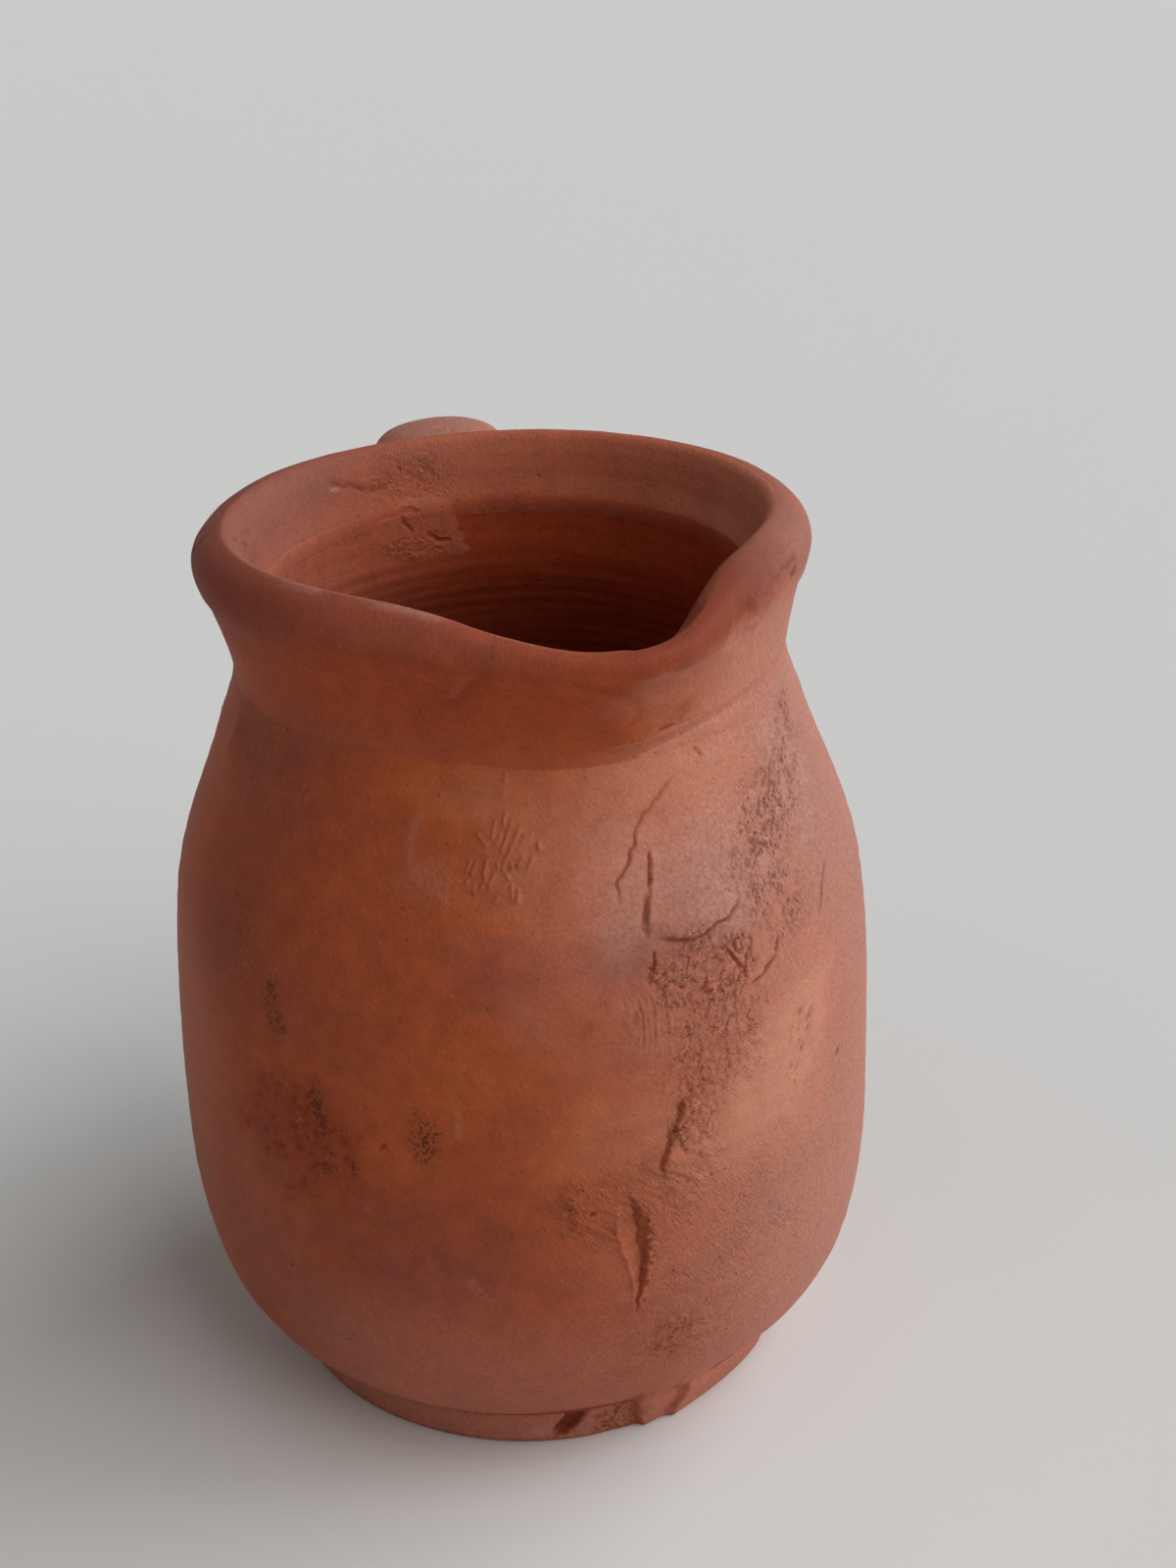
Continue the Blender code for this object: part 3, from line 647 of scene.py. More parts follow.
skin.crack(((9.4, 103.8), (8.9, 101.2), (8.8, 99.6)), 0.25, 0.35, 0.3, 42)
skin.crack(((21.6, 101.2), (22.8, 98.6), (24.6, 96.4)), 0.28, 0.35, 0.3, 43)

# The pitted strip towards the right edge, and the pits and creases round it
strip_route = (
    (57.8, 129.1), (53.4, 126.3), (50.9, 123), (48, 119.8), (40, 117.7),
    (35.2, 114), (33.2, 110), (33.1, 105.7), (36, 102),
)
strip_gap, _, strip_share = skin.line(strip_route, 1.2, 43)
strip_reach = np.interp(strip_share, (0, 0.15, 0.5, 0.75, 1), (2.5, 7, 10, 11, 8))
strip = smooth((strip_reach - strip_gap) / (0.8 * strip_reach)) * outside
strip = strip * smooth(1.1 + 1.5 * skin.strokes(strip, 3.2, 45))
skin.pits(strip, 0.8, 0.18, 44, 0.06, 0.34, 1.3, 25)
skin.tear(0.5 * strip, 1.5, 0.2, 47, 1.2, 25, 0.35)
skin.stain("rough", 0.85 * strip)
skin.stain("scuff_and_painted_light", 0.6 * strip)
skin.crack(((50.7, 104.5), (46.5, 100.5), (43.5, 96.5)), 0.22, 0.2, 0.4, 46, 0.6)
skin.crack(((24.6, 130.4), (26.2, 129)), 0.25, 0.25, 0.3, 47, 0.8)
skin.pits(skin.patch(36, 80, 3, 9, 0.9, 0.4, 45, 18), 0.8, 0.2, 46, 0.3, 0.6, 2, 18)

# Curved ridges, like those a thumb drags, below the torn clay, with painted shade in the troughs between
# them
for ridge_turn, ridge_height, wide, tall, rise in ((7.4, 92.4, 4.6, 4.2, 0.15), (0.8, 94, 4.8, 3.6, 0.1)):
    dragged = skin.patch(ridge_turn, ridge_height, wide, tall, 1.1, 0.35, 48)
    across = np.radians(skin.turn_from(ridge_turn)) * skin.girth
    bowed = across + 0.03 * (skin.height - ridge_height) ** 2 + 0.7 * skin.strokes(dragged, 2.4, 49)
    broken = smooth(0.6 + 1.5 * skin.strokes(dragged, 1.5, 50, 2))
    skin.relief += rise * dragged * broken * np.sin(2 * math.pi * bowed / 1.1)
    skin.stain("hollow_shade", 0.25 * dragged * broken * smooth(-np.sin(2 * math.pi * bowed / 1.1)))

# The lump on the belly, the scratched clay below it and the leaf-shaped gouge
lump_edge = ((8.3, 63.8), (8.4, 67), (9.6, 71), (11.2, 75), (13.2, 79.2))
skin.ledge(lump_edge, 0.8, 0.8, 3.6, 0.8, 50, 0)
skin.crack(lump_edge, 0.42, 0.4, 0.8, 50, 0.55)
lump = skin.patch(13.4, 73.6, 4.2, 6, 0.6, 0.35, 51)
skin.tear(lump, 2.3, 0.34, 52, 1.2, 0, 0.3)
skin.stain("scuff_and_painted_light", 0.28 * lump)
scraped = skin.patch(4.6, 60.5, 15, 8, 0.6, 0.35, 53)
skin.relief += 0.3 * scraped * skin.strokes(scraped, 0.8, 54, 5, -55)
skin.stain("rough", scraped)
skin.ledge(((-5.6, 55.6), (-5.2, 60.5), (-6.6, 63), (-6.1, 68)), 0.3, 0.6, 4, 0.7, 56, 0.25)
gouge_route = ((3.6, 38.8), (4.6, 45), (4.7, 50), (4.0, 55.8), (3.2, 61))
gouge_gap, gouge_side, gouge_share = skin.line(gouge_route, 0.5, 57)
gouge_steps = (0, 0.28, 0.51, 0.78, 1)
left_flank = np.interp(gouge_share, gouge_steps, (0.2, 1.3, 2.5, 3.3, 2.2))
right_flank = np.interp(gouge_share, gouge_steps, (0.2, 0.8, 1.4, 1.8, 1.3))
gouge_depth = np.interp(gouge_share, gouge_steps, (0.2, 0.9, 1.3, 1.2, 0.3)) * outside
flank = np.where(gouge_side > 0, right_flank, left_flank)
gouge = np.clip(1 - gouge_gap / flank, 0, 1)
skin.relief -= gouge_depth * gouge
rim = bell((gouge_gap - flank) / 0.45) * gouge_depth
skin.relief += 0.25 * rim
# Painted shadow on the right flank, which faces away from the light, and a painted highlight on the rim of
# the left flank
skin.stain("hollow_shade", 0.5 * smooth(gouge * 2.2) * (gouge_side > 0))
skin.stain("scuff_and_painted_light", 0.14 * rim * (gouge_side < 0))
torn_flank = bell((gouge_gap - right_flank) / 0.8) * (gouge_side > 0) * gouge_depth
skin.pits(torn_flank, 0.95, 0.5, 58, 0, 0.45)
cluster = skin.patch(10.2, 30.5, 4.8, 5.6, 0.8, 0.35, 58)
skin.tear(cluster, 2.0, 0.4, 59, 1.2, 0, 0.35)
grazed = skin.patch(20, 46, 17, 17, 0.8, 0.35, 60)
grazed = grazed * smooth(0.45 + 1.6 * skin.strokes(grazed, 4.5, 61, 2, -40))
skin.relief += 0.12 * grazed * skin.strokes(grazed, 0.9, 62, 4, -45)
skin.stain("rough", 0.75 * grazed)
skin.stain("rough", 0.4 * skin.patch(8, 34, 20, 14, 0.9, 0.35, 61))

# Wrinkles that fan out on the front of the shoulder, with a crescent scar beside them
WRINKLES = (
    ((-12.9, 132.2), (-13, 130.5), (-13.3, 128.5), (-13.8, 127.5)),
    ((-14.8, 125), (-15.1, 124.3), (-15.3, 123.5), (-15.5, 122.1)),
    ((-12.9, 126), (-13.4, 125.2), (-13.7, 123.8)), ((-13.9, 123.2), (-14.5, 122), (-15.1, 121)),
    ((-11.5, 125), (-12.3, 124.2), (-12.9, 122.9), (-13.4, 121.8), (-13.9, 120.7), (-14.3, 119.6)),
    (
        (-10.1, 124.2), (-11, 123.1), (-11.6, 122.3), (-12.1, 121),
        (-12.8, 120), (-13.4, 119.1), (-13.8, 118.1), (-14, 116.9),
    ),
    ((-8.4, 122.8), (-9.5, 122.2), (-10.4, 121.8), (-10.7, 121.4)),
    ((-18.3, 123.3), (-17.8, 122.6), (-17.1, 121.9), (-16.4, 121)),
    ((-19.1, 119.5), (-19.6, 118.3), (-20, 117.1)), ((-18.1, 119.1), (-18.7, 118), (-19.3, 116.8)),
    ((-19.4, 116.4), (-20.1, 115.5)), ((-18.5, 115.8), (-18.7, 114.7)),
    ((-16.3, 119.4), (-16.8, 118.1), (-17.3, 116.7)), ((-15, 119.1), (-14.6, 118.2), (-14.7, 117.4)),
    ((-12.3, 118.8), (-12.5, 117.4)), ((-10, 119.7), (-10.9, 118.7), (-11.5, 117.8)),
    ((-8.6, 119.4), (-9.4, 118.5), (-10.1, 117.6)), ((-16.4, 117.9), (-16.9, 116.8), (-16.7, 115.8)),
    ((-15.2, 117.6), (-15.7, 116.4), (-16.1, 115)), ((-13.3, 117.5), (-13, 116.2)),
    ((-12.6, 115.8), (-12.4, 114.6), (-12.6, 113.3)), ((-7.9, 121.8), (-7.5, 120.3)),
    ((-11.4, 115.2), (-11.5, 113.9), (-11.9, 112.7)), ((-14.7, 114.1), (-15.3, 113)),
    ((-17.4, 115.6), (-17.5, 114.8)),
)
for step, wrinkle in enumerate(WRINKLES):
    skin.ridge(wrinkle, 0.3, 0.36, 0.2, 63 + step, 0.2)
fan = skin.patch(-14, 116.6, 8, 9, 0.9, 0.3, 62)
skin.relief += 0.07 * fan * skin.strokes(fan, 0.9, 64, 2.4, 22)
skin.stain("rough", 0.1 * fan)
crescent = ((-27.4, 127), (-29.6, 122.5), (-30.1, 119), (-28.6, 116), (-25, 114.1), (-21.3, 112))
skin.ridge(crescent, 0.7, 0.3, 0.5, 65, 0.2)
skin.stain("scuff_and_painted_light", 0.14 * skin.patch(-26.4, 115.8, 4.6, 2.8, 1.2, 0.4, 66))
skin.stain("rough", 0.5 * skin.patch(-25, 114.6, 5.5, 3.4, 1.2, 0.4, 66))
combed = skin.patch(-33, 103.4, 7, 4.2, 1, 0.3, 67)
skin.relief += 0.12 * combed * skin.strokes(combed, 0.9, 68, 6, 62)
skin.ridge(((-22.1, 87), (-22.1, 81.7), (-21.5, 74.5)), 0.34, 0.22, 0.2, 69, 0.25)
skin.crack(((-22.4, 50.4), (-21.1, 48.2), (-19.4, 45.4), (-16.6, 42.5), (-14.2, 39)), 0.5, 0.25, 0.2, 70, 0)
skin.ridge(((-21.5, 49), (-19.7, 45.8), (-16.9, 42.9)), 0.5, 0.12, 0.2, 71, 0.22)
# Pinholes, painted dark inside as shade
for pin_turn, pin_height in ((-13.9, 132.8), (-33, 72), (-2.6, 60), (22, 58), (47, 70), (-40, 49)):
    hole = skin.patch(pin_turn, pin_height, 0.42, 0.42, 0.7)
    skin.relief -= 0.6 * hole
    skin.stain("hollow_shade", hole)

# Speckled clay, darkened, with painted shade in its pits, a painted shade at the left edge, soot and rubbed
# places, most of them on the left of the belly
speckled = skin.patch(-49, 70, 12, 11, 0.9, 0.4, 72)
skin.stain("rough", 0.75 * speckled)
skin.stain("torn", 0.3 * speckled)
skin.stain("red", 0.45 * speckled)
skin.stain("hollow_shade", 0.22 * speckled)
skin.pits(speckled, 0.9, 0.12, 73, 0.16, 0.85, 2.2, 50)
skin.stain("hollow_shade", 0.14 * skin.patch(-66, 101, 11, 16, 1.4, 0.3, 75))
skin.stain("rough", 0.5 * skin.patch(-62, 96, 9, 14, 1.2, 0.3, 74))
for soot_turn, soot_height, wide, tall in (
    (-53.2, 92.4, 1.9, 3.6), (-51.4, 88.6, 1.2, 2.4), (-44.6, 76.4, 1.5, 4.0), (-44.0, 71.8, 1.2, 2.2),
    (-26.8, 74.6, 2.3, 4.4), (-43, 65.6, 1.8, 1.0), (-38.4, 67, 1.0, 1.6), (104, 58, 3, 5),
):
    skin.stain("soot", skin.patch(soot_turn, soot_height, wide, tall, 1.3, 0.6, 76))

# Clay dragged down over the foot on the right of the front
skin.ledge(((9.0, 6), (7.6, 10.5), (6.2, 15.5)), 1.0, 0.8, 5, 0.3, 77)
dragged_down = skin.patch(15, 10.5, 8, 3.6, 0.9, 0.25, 78)
skin.relief += 0.6 * dragged_down
skin.pits(skin.patch(13.5, 13.4, 4, 2, 0.9, 0.3, 79), 0.8, 0.4, 80, 0.2)

# The collar's clay was smeared over the joint on the right of the spout
skin.ledge(((46, 131.8), (31.2, 131.5), (22, 132.1), (14, 132), (5, 132.4)), 0.55, 1.6, 6, 0.4, 93, 0)

# The back, which was handled as much: a torn smear, a scrape and a few knocks
back_smear = ((126, 44), (122, 55), (124, 66), (130, 74))
skin.ledge(back_smear, 0.8, 0.7, 10, 0.6, 81)
skin.crack(back_smear, 0.4, 0.4, 0.6, 81)
skin.tear(skin.patch(133, 56, 12, 14, 0.7, 0.35, 82), 1.9, 0.4, 83, 1.6, -15)
skin.pits(skin.patch(-118, 84, 10, 16, 1.1, 0.4, 84), 1.3, 0.3, 85, 0.34, 0.8)
skin.crack(((-105, 60), (-112, 66), (-121, 69)), 0.6, 0.35, 0.5, 86, 0.6)
skin.ridge(((96, 112), (101, 103), (103, 94)), 0.7, 0.25, 0.5, 87, 0.4)
skin.crack(((-150, 40), (-143, 46), (-140, 55)), 0.7, 0.4, 0.4, 88, 0.5)

# Dusty blooms, most of them on the right, where the broad pale dust also stands for painted sheen, and
# crumbs of clay that stuck on the left of the neck
DUST_AND_SHEEN_BLOOMS = (
    (29, 113, 19, 15, 1.2, 89, 0.67), (22, 109, 8, 7, 1.2, 90, 0.68), (47, 119, 12, 14, 1.3, 86, 0.72),
    (10, 114, 13, 12, 1.4, 88, 0.58), (15, 93, 14, 14, 1.3, 90, 0.36), (3, 108, 16, 24, 1.5, 94, 0.24),
    (-62, 48, 15, 22, 1.4, 95, 0.1),
)
for bloom_turn, bloom_height, wide, tall, edge, seed, dust in DUST_AND_SHEEN_BLOOMS:
    skin.stain("scuff_and_painted_light", dust * skin.patch(bloom_turn, bloom_height, wide, tall, edge, 0.25, seed))
skin.stain("scuff_and_painted_light", 0.54 * outside * skin.between(-20, 60, 125, 55))
skin.stain("scuff_and_painted_light", 0.24 * outside * skin.below(52, 24) * skin.between(-78, 45, 125, 45))
skin.stain("scuff_and_painted_light", 0.17 * outside * skin.below(104, 20) * skin.between(-150, 50, -56, 22))
crumbs = skin.patch(-79, 126, 2.6, 5, 0.9, 0.5, 91)
skin.relief += 0.6 * crumbs * (0.5 + skin.strokes(crumbs, 1.6, 92))

# Kiln clouds: tan on the shoulder and in a band on the right, purple where the flame reduced the clay
KILN_CLOUDS = (
    (-4, 128, 20, 8, 0.25), (-9, 114, 17, 10, 0.25), (22, 130, 14, 6, 0.6), (-46, 128, 20, 10, -0.1),
    (-13, 86, 14, 9, 0.2), (34, 66, 9, 6, 0.5), (-14.7, 103, 7.5, 5, -0.6), (3.6, 104, 6, 4.4, -0.85),
    (21, 109, 11, 8, -0.9), (-67, 101, 11, 16, -0.45), (-11, 78, 6, 5, -0.3), (3, 74, 13, 8, 0.5),
    (48, 116, 12, 14, -0.55), (-24, 130, 9, 5, 0.4), (-72, 131, 14, 6, -0.4), (-27, 53, 17, 12, -0.65),
    (-34, 31, 16, 10, -0.4), (-52, 66, 13, 10, -0.2), (-60, 44, 14, 20, -0.08), (-62, 122, 14, 9, -0.3),
    (-43, 92, 13, 12, -0.3), (100, 100, 22, 20, 0.5), (150, 60, 22, 18, -0.6), (-125, 110, 20, 14, 0.45),
    (-110, 60, 20, 20, -0.4), (-160, 88, 18, 14, 0.5), (75, 96, 14, 18, -0.3), (170, 120, 20, 10, -0.4),
)
for cloud_turn, cloud_height, wide, tall, tone in KILN_CLOUDS:
    cloud = skin.patch(cloud_turn, cloud_height, wide, tall, 1.4, 0.25, cloud_height)
    skin.bake(tone * cloud)
skin.bake(1.4 * skin.patch(31, 77, 19, 8, 1.4, 0.25, 77, -38))
skin.bake(-0.35 * outside * skin.below(64, 28))
# Painted shade: darker on the left, away from the lamps
skin.bake(-0.3 * outside * skin.between(-150, 40, -30, 30))
skin.bake(-0.5 * outside * skin.between(20, 40, 150, 50))
# Painted shade: a darker band at the top of the wall, under the collar's edge
skin.bake(-0.15 * outside * skin.above(130, 5))
skin.stain("red", 0.3 * skin.below(34, 18))
skin.stain("red", 0.4 * skin.patch(-22, 32, 18, 12, 1.4))

# The inside, with painted shade: redder and darker downwards and on the side turned from the lamps, and
# paler near the neck on the side that faces the light, dust that stands partly for painted light
skin.face = inside
lit_side = smooth(0.2 - 0.9 * np.sin(np.radians(skin.turn)))
skin.bake(-inside * (0.4 + 0.3 * skin.below(128, 20)))
skin.stain("hollow_shade", 0.22 + 0.43 * skin.below(126, 20))
skin.stain("red", 0.85 - 0.35 * lit_side)
skin.stain("scuff_and_painted_light", 0.3 * lit_side * skin.above(114, 14))
skin.set()
body_wall.data.materials.append(fired_clay("wall_clay", 0.3, 0.58, cloud=0.26))
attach(body_wall, "root")
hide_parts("body_wall")

# Collar slip: the liquid clay in the bevelled joint between the wall and the collar. What was
# squeezed out was wiped level with a wet finger inside and out, so the joint hardly shows.
COLLAR_SLIP_SEGMENTS = 360
half_slip = 0.42
slip_in = [seam_point(share, half_slip) for share in (0.1, 0.35, 0.65, 0.94)]
slip_out = [seam_point(share, -half_slip) for share in (0.86, 0.65, 0.35, 0.06)]
outer_wipe = [
    (46.3, 132.7), (46.76, 133.2), (46.73, 133.75), (46.66, 134.2), (46.62, 134.8),
    (46.6, 135.3), (46.62, 135.7), (46.76, 136.2), (46.88, 136.7), (46.92, 137.1), (46.5, 137.6),
]
inner_wipe = [
    (41.4, 147), (40.97, 146.5), (40.79, 146.15), (40.66, 145.8), (40.53, 145.2),
    (40.47, 144.6), (40.46, 144), (40.47, 143.4), (40.52, 142.8), (41, 142.3),
]
collar_slip_outline = [*outer_wipe, *slip_in, *inner_wipe, *slip_out, outer_wipe[0]]
collar_slip = throw("slip_under_collar", collar_slip_outline, COLLAR_SLIP_SEGMENTS)
skin = ClaySkin(collar_slip)
pull_spout(skin)
inside = 1 - skin.outside
skin.relief += skin.uneven(91, (0.03, 4), (0.03, 1.5))
# Inside, paler on the side the light falls on and darker all round; outside, dust on the right that also
# stands for painted sheen, and painted shade on the left of the neck
skin.stain("scuff_and_painted_light", inside * (0.06 + 0.2 * smooth(-np.sin(np.radians(skin.turn)))) + 0.03)
skin.stain("hollow_shade", 0.15 * inside)
skin.stain("scuff_and_painted_light", 0.52 * skin.outside * skin.between(-8, 45, 125, 55))
skin.bake(0.7 * skin.outside - 0.4)
skin.bake(-0.6 * skin.patch(-75, 135, 32, 9, 1.4))
skin.stain("red", 0.2 + 0.3 * inside)
skin.set()
collar_slip.data.materials.append(slip_clay)
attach(collar_slip, "root")
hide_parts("collar_slip")

# Collar: a flared band of terracotta lapped on to the neck, with a rolled lip. A finger drew the
# spout out of it while it was wet, and the thumb on each side left a crease under the lip.
COLLAR_SEGMENTS = 480
COLLAR_STEPS = 5
LIP_CORNER = 10


def smooth_run(corners, steps):
    """A curve through the corners of an outline, with this many steps between neighbours."""
    corners = np.array(corners, float)
    before = np.vstack([2 * corners[0] - corners[1], corners[:-1]])
    after = np.vstack([corners[1:], 2 * corners[-1] - corners[-2]])
    tangents = (after - before) / 2
    run = []
    for start, end, leave, arrive in zip(corners, corners[1:], tangents, tangents[1:]):
        for t in np.arange(steps) / steps:
            run.append(
                start * (1 + 2 * t) * (1 - t) ** 2
                + end * t * t * (3 - 2 * t)
                + leave * t * (1 - t) ** 2
                - arrive * t * t * (1 - t)
            )
    return [tuple(point) for point in run] + [tuple(corners[-1])]


collar_corners = [
    (46.6, 135.75), (46.85, 136.7), (47.35, 139), (48.15, 142), (49.1, 145), (50.0, 147.3),
    (51.1, 149.2), (51.85, 151.8), (51.45, 154), (50.1, 155.8), (48.4, 156.7), (46.7, 157.0),
    (45.2, 156.2), (44.1, 154.6), (43.0, 152.2), (42.0, 149.2), (41.1, 147), (40.7, 145.8),
]
collar_foot = [seam_point(share, SEAM_HALF) for share in (0.98, 0.75, 0.5, 0.25, 0.03)]
collar_outline = smooth_run(collar_corners, COLLAR_STEPS)
collar = throw("flared_collar", [*collar_outline, *collar_foot, collar_outline[0]], COLLAR_SEGMENTS)
skin = ClaySkin(collar)
settled = np.where(skin.outside > 0.5, skin.above(136.5, 7), skin.above(146, 5))
pull_spout(skin)
skin.girth = 49
outside = skin.outside.copy()
inside = 1 - outside
skin.relief += settled * skin.uneven(101, (0.3, 26), (0.12, 9), (0.03, 2))
skin.relief += settled * inside * 0.025 * np.sin(2 * math.pi * skin.height / 2.6 + skin.lumps(25, 104))

# Pinches beside the spout, and a soft groove under the rolled lip
skin.face = outside
fold = ((-16.4, 151.1), (-18.2, 148.9), (-21.5, 144.7), (-23.4, 142.4))
skin.ledge(fold, 0.7, 1.6, 4, 0.4, 106, 0.45)
skin.ridge(((-17.4, 150.6), (-19.6, 147.6), (-22, 144.6)), 0.6, 0.3, 0.4, 107, 0.15)
tongue = ((-5.7, 150.4), (2.9, 146.1), (9.1, 141.8), (10.3, 139.8), (8.5, 137.6), (4, 136.2))
skin.ledge(tongue, 0.8, 2, 5, 0.3, 108, 0.3)
# A dent under the collar, right of the spout, painted dark inside as shade
skin.relief -= 0.6 * skin.patch(20, 136.3, 3.4, 1.5, 1.2, 0.2, 108, -40)
skin.stain("hollow_shade", 0.18 * skin.patch(20, 136.3, 3.4, 1.2, 1.2, 0.2, 108, -40))
lip_crease = (
    (-2.4, 150), (-9, 151.4), (-14.3, 151.2), (-21, 150.9), (-30.4, 152),
    (-42.1, 151.2), (-51.1, 151.2), (-61.6, 152.4), (-69, 153),
)
skin.ledge(lip_crease, 0.45, 1.3, 3, 0.5, 109, 0.16)
skin.relief -= 0.9 * skin.patch(33, 150, 3.6, 3.4, 1.2, 0.2, 107, -20)
skin.ridge(((45.4, 152.6), (41, 149), (38.6, 146.4)), 0.8, 0.3, 0.4, 120, 0.25)
skin.ridge(((42, 154.5), (52, 155), (64, 154.6)), 0.5, 0.25, 0.4, 109, 0.3)
skin.crack(((38, 151.2), (47, 153.2), (60, 153.6)), 0.35, 0.3, 0.4, 110, 0.6)
skin.crack(((53, 151.4), (57, 152.6)), 0.4, 0.3, 0.3, 111, 0.8)

# Worn places round the spout and along the lip, partly painted highlights, and a crack and a rubbed place
# inside
skin.face = 1
# Paler right of the spout, where the rounded lip catches the light: wear and a painted highlight
spout_wear_and_highlight_route = ((6, 148), (11.7, 147.5), (19.3, 146.2), (27.1, 146.4), (35, 148.2))
spout_wear_and_highlight_gap, _, spout_wear_and_highlight_share = skin.line(spout_wear_and_highlight_route, 0.8, 112)
spout_wear_and_highlight_ends = smooth(5 * spout_wear_and_highlight_share) * smooth(5 * (1 - spout_wear_and_highlight_share))
skin.stain("scuff_and_painted_light", 0.4 * smooth((2.6 - spout_wear_and_highlight_gap) / 1.6) * spout_wear_and_highlight_ends * outside)
lip_wear = bell((skin.height - 156.2) / 1.6) * smooth(0.5 + 1.2 * skin.lumps(11, 113))
skin.stain("scuff_and_painted_light", 0.1 * lip_wear)
# Paler on the up-facing crest of the lip at the front left: dust and a painted highlight
crest = smooth((skin.normals[:, 2] - 0.9) / 0.08) * smooth(0.6 + 1.5 * skin.lumps(5, 113))
skin.stain("scuff_and_painted_light", 0.45 * crest * skin.patch(-44, 156.5, 20, 6, 0.6))
skin.pits(skin.patch(-98, 151, 8, 5, 1, 0.4, 114), 1.1, 0.35, 115, 0.25, 0.7)
skin.face = inside
skin.relief -= 1.3 * skin.patch(16, 153, 5.5, 5, 1.2)
inner_crack = ((-144, 153.4), (-151.7, 151.9), (-154.3, 150.7), (-158.5, 150.3), (-161.4, 150.8))
skin.crack(inner_crack, 0.36, 0.3, 0.5, 116, 0.7)
skin.stain("scuff_and_painted_light", 0.8 * skin.patch(-146.3, 152.1, 0.9, 0.5, 0.8))
rubbed = skin.patch(-168, 151.4, 8, 4.5, 1.2, 0.4, 118)
skin.pits(rubbed, 0.9, 0.16, 119, 0.22, 0.4, 2, 10)
skin.stain("rough", 0.6 * rubbed)

# Kiln tones and dust outside: paler on the right below the lip, where the dust also stands for painted
# sheen, purple on the left and on the lip
skin.face = 1
skin.bake(-0.38 + 0.2 * skin.patch(-75, 148, 30, 8, 1.5))
skin.bake(0.65 * skin.patch(32, 139, 18, 9, 1.4))
skin.bake(0.2 * outside * skin.patch(-8, 145, 28, 11, 1.4))
skin.bake(0.2 * outside * skin.below(141, 5))
skin.bake(-0.45 * skin.above(149, 4))
# Painted shade: the left end of the lip and the collar under it darker
skin.bake(-0.9 * skin.patch(-86, 154, 24, 8, 1.2))
skin.bake(-0.5 * outside * skin.patch(-78, 139, 20, 9, 1.4))
skin.stain("red", 0.4 * outside * skin.patch(-20, 148, 50, 12, 1.4))
below_lip = 0.5 + 0.5 * skin.below(152, 4)
skin.stain("scuff_and_painted_light", 0.55 * outside * below_lip * skin.between(4, 40, 125, 50))
skin.stain("scuff_and_painted_light", 0.3 * outside * skin.patch(17, 143.5, 9, 4.5, 1.4))
skin.stain("scuff_and_painted_light", 0.06 * skin.above(150, 4))
# Painted shade on the left end of the lip and on the lip right of the spout
skin.stain("hollow_shade", (0.26 + 0.24 * outside) * skin.patch(-94, 153.5, 38, 9, 1.2))
skin.stain("hollow_shade", 0.72 * skin.patch(25, 155.5, 21, 5, 1.3, 0.2, 121))

# Painted light and shade inside, which differ from side to side: the side turned from the lamps is lighter
# and dustier, standing in for bounce light; the lit side is darker with painted shade, though dusty too;
# the back right is lighter and redder, also as painted light
shaded_side = bell(skin.turn_from(92) / 34)
lit_side = smooth(0.1 - np.sin(np.radians(skin.turn)))
far_side = smooth(-np.cos(np.radians(skin.turn + 10)) - 0.3)
back_right = bell(skin.turn_from(140) / 40)
skin.bake(inside * (0.8 * shaded_side + 0.25))
skin.bake(-0.5 * inside * lit_side)
skin.bake(0.4 * inside * back_right)
skin.stain("red", 0.4 * inside * back_right)
skin.stain("hollow_shade", 0.27 * inside * lit_side)
skin.stain("scuff_and_painted_light", 0.3 * inside * lit_side)
skin.stain("scuff_and_painted_light", inside * skin.above(145, 3) * (0.12 + 0.28 * shaded_side + 0.1 * far_side))
skin.set()
collar.data.materials.append(fired_clay("collar_clay", 0.3, 0.62))
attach(collar, "root")
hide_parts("collar")

# Inner patch: clay pressed over the joint inside the throat, behind the handle's upper end. It
# dried too fast, so it tore and cracked.
PATCH_TURN = 192
PATCH_HALF_TURN = 22
PATCH_LOW = 132
PATCH_HIGH = 151
PATCH_TUCK = 0.35
PATCH_PROUD = 0.6
PATCH_BACKING = 1.2
PATCH_COLUMNS = 110
PATCH_ROWS = 84
bpy.ops.object.select_all(action="DESELECT")
bpy.ops.mesh.primitive_grid_add(x_subdivisions=PATCH_COLUMNS, y_subdivisions=PATCH_ROWS, size=2)
inner_patch = bpy.context.object
inner_patch.name = inner_patch.data.name = "throat_patch"
flat = np.array([vertex.co[:2] for vertex in inner_patch.data.vertices])
patch_turns = np.radians(PATCH_TURN + flat[:, 0] * PATCH_HALF_TURN)
patch_heights = (PATCH_LOW + PATCH_HIGH) / 2 + flat[:, 1] * (PATCH_HIGH - PATCH_LOW) / 2
throat_outline = sorted(
    [(height, radius) for radius, height in wall_inside if height > 125]
    + [(height, radius) for radius, height in collar_outline if radius < 45.6]
)
throat_heights, throat_radii = np.array(throat_outline).T
bed = np.interp(patch_heights, throat_heights, throat_radii)
reach = np.hypot(flat[:, 0], flat[:, 1])
ragged_edge = np.array([noise.noise((a * 3, b * 3, 5)) for a, b in flat.tolist()])
cover = smooth((0.95 + 0.2 * ragged_edge - reach) / 0.6)
patch_radii = bed + PATCH_TUCK - PATCH_PROUD * cover
places = np.stack([patch_radii * np.sin(patch_turns), -patch_radii * np.cos(patch_turns), patch_heights], 1)
inner_patch.data.vertices.foreach_set("co", (places * MM).astype(np.float32).ravel())
inner_patch.data.update()
bpy.ops.object.mode_set(mode="EDIT")
bpy.ops.mesh.select_all(action="SELECT")
bpy.ops.mesh.flip_normals()
bpy.ops.object.mode_set(mode="OBJECT")
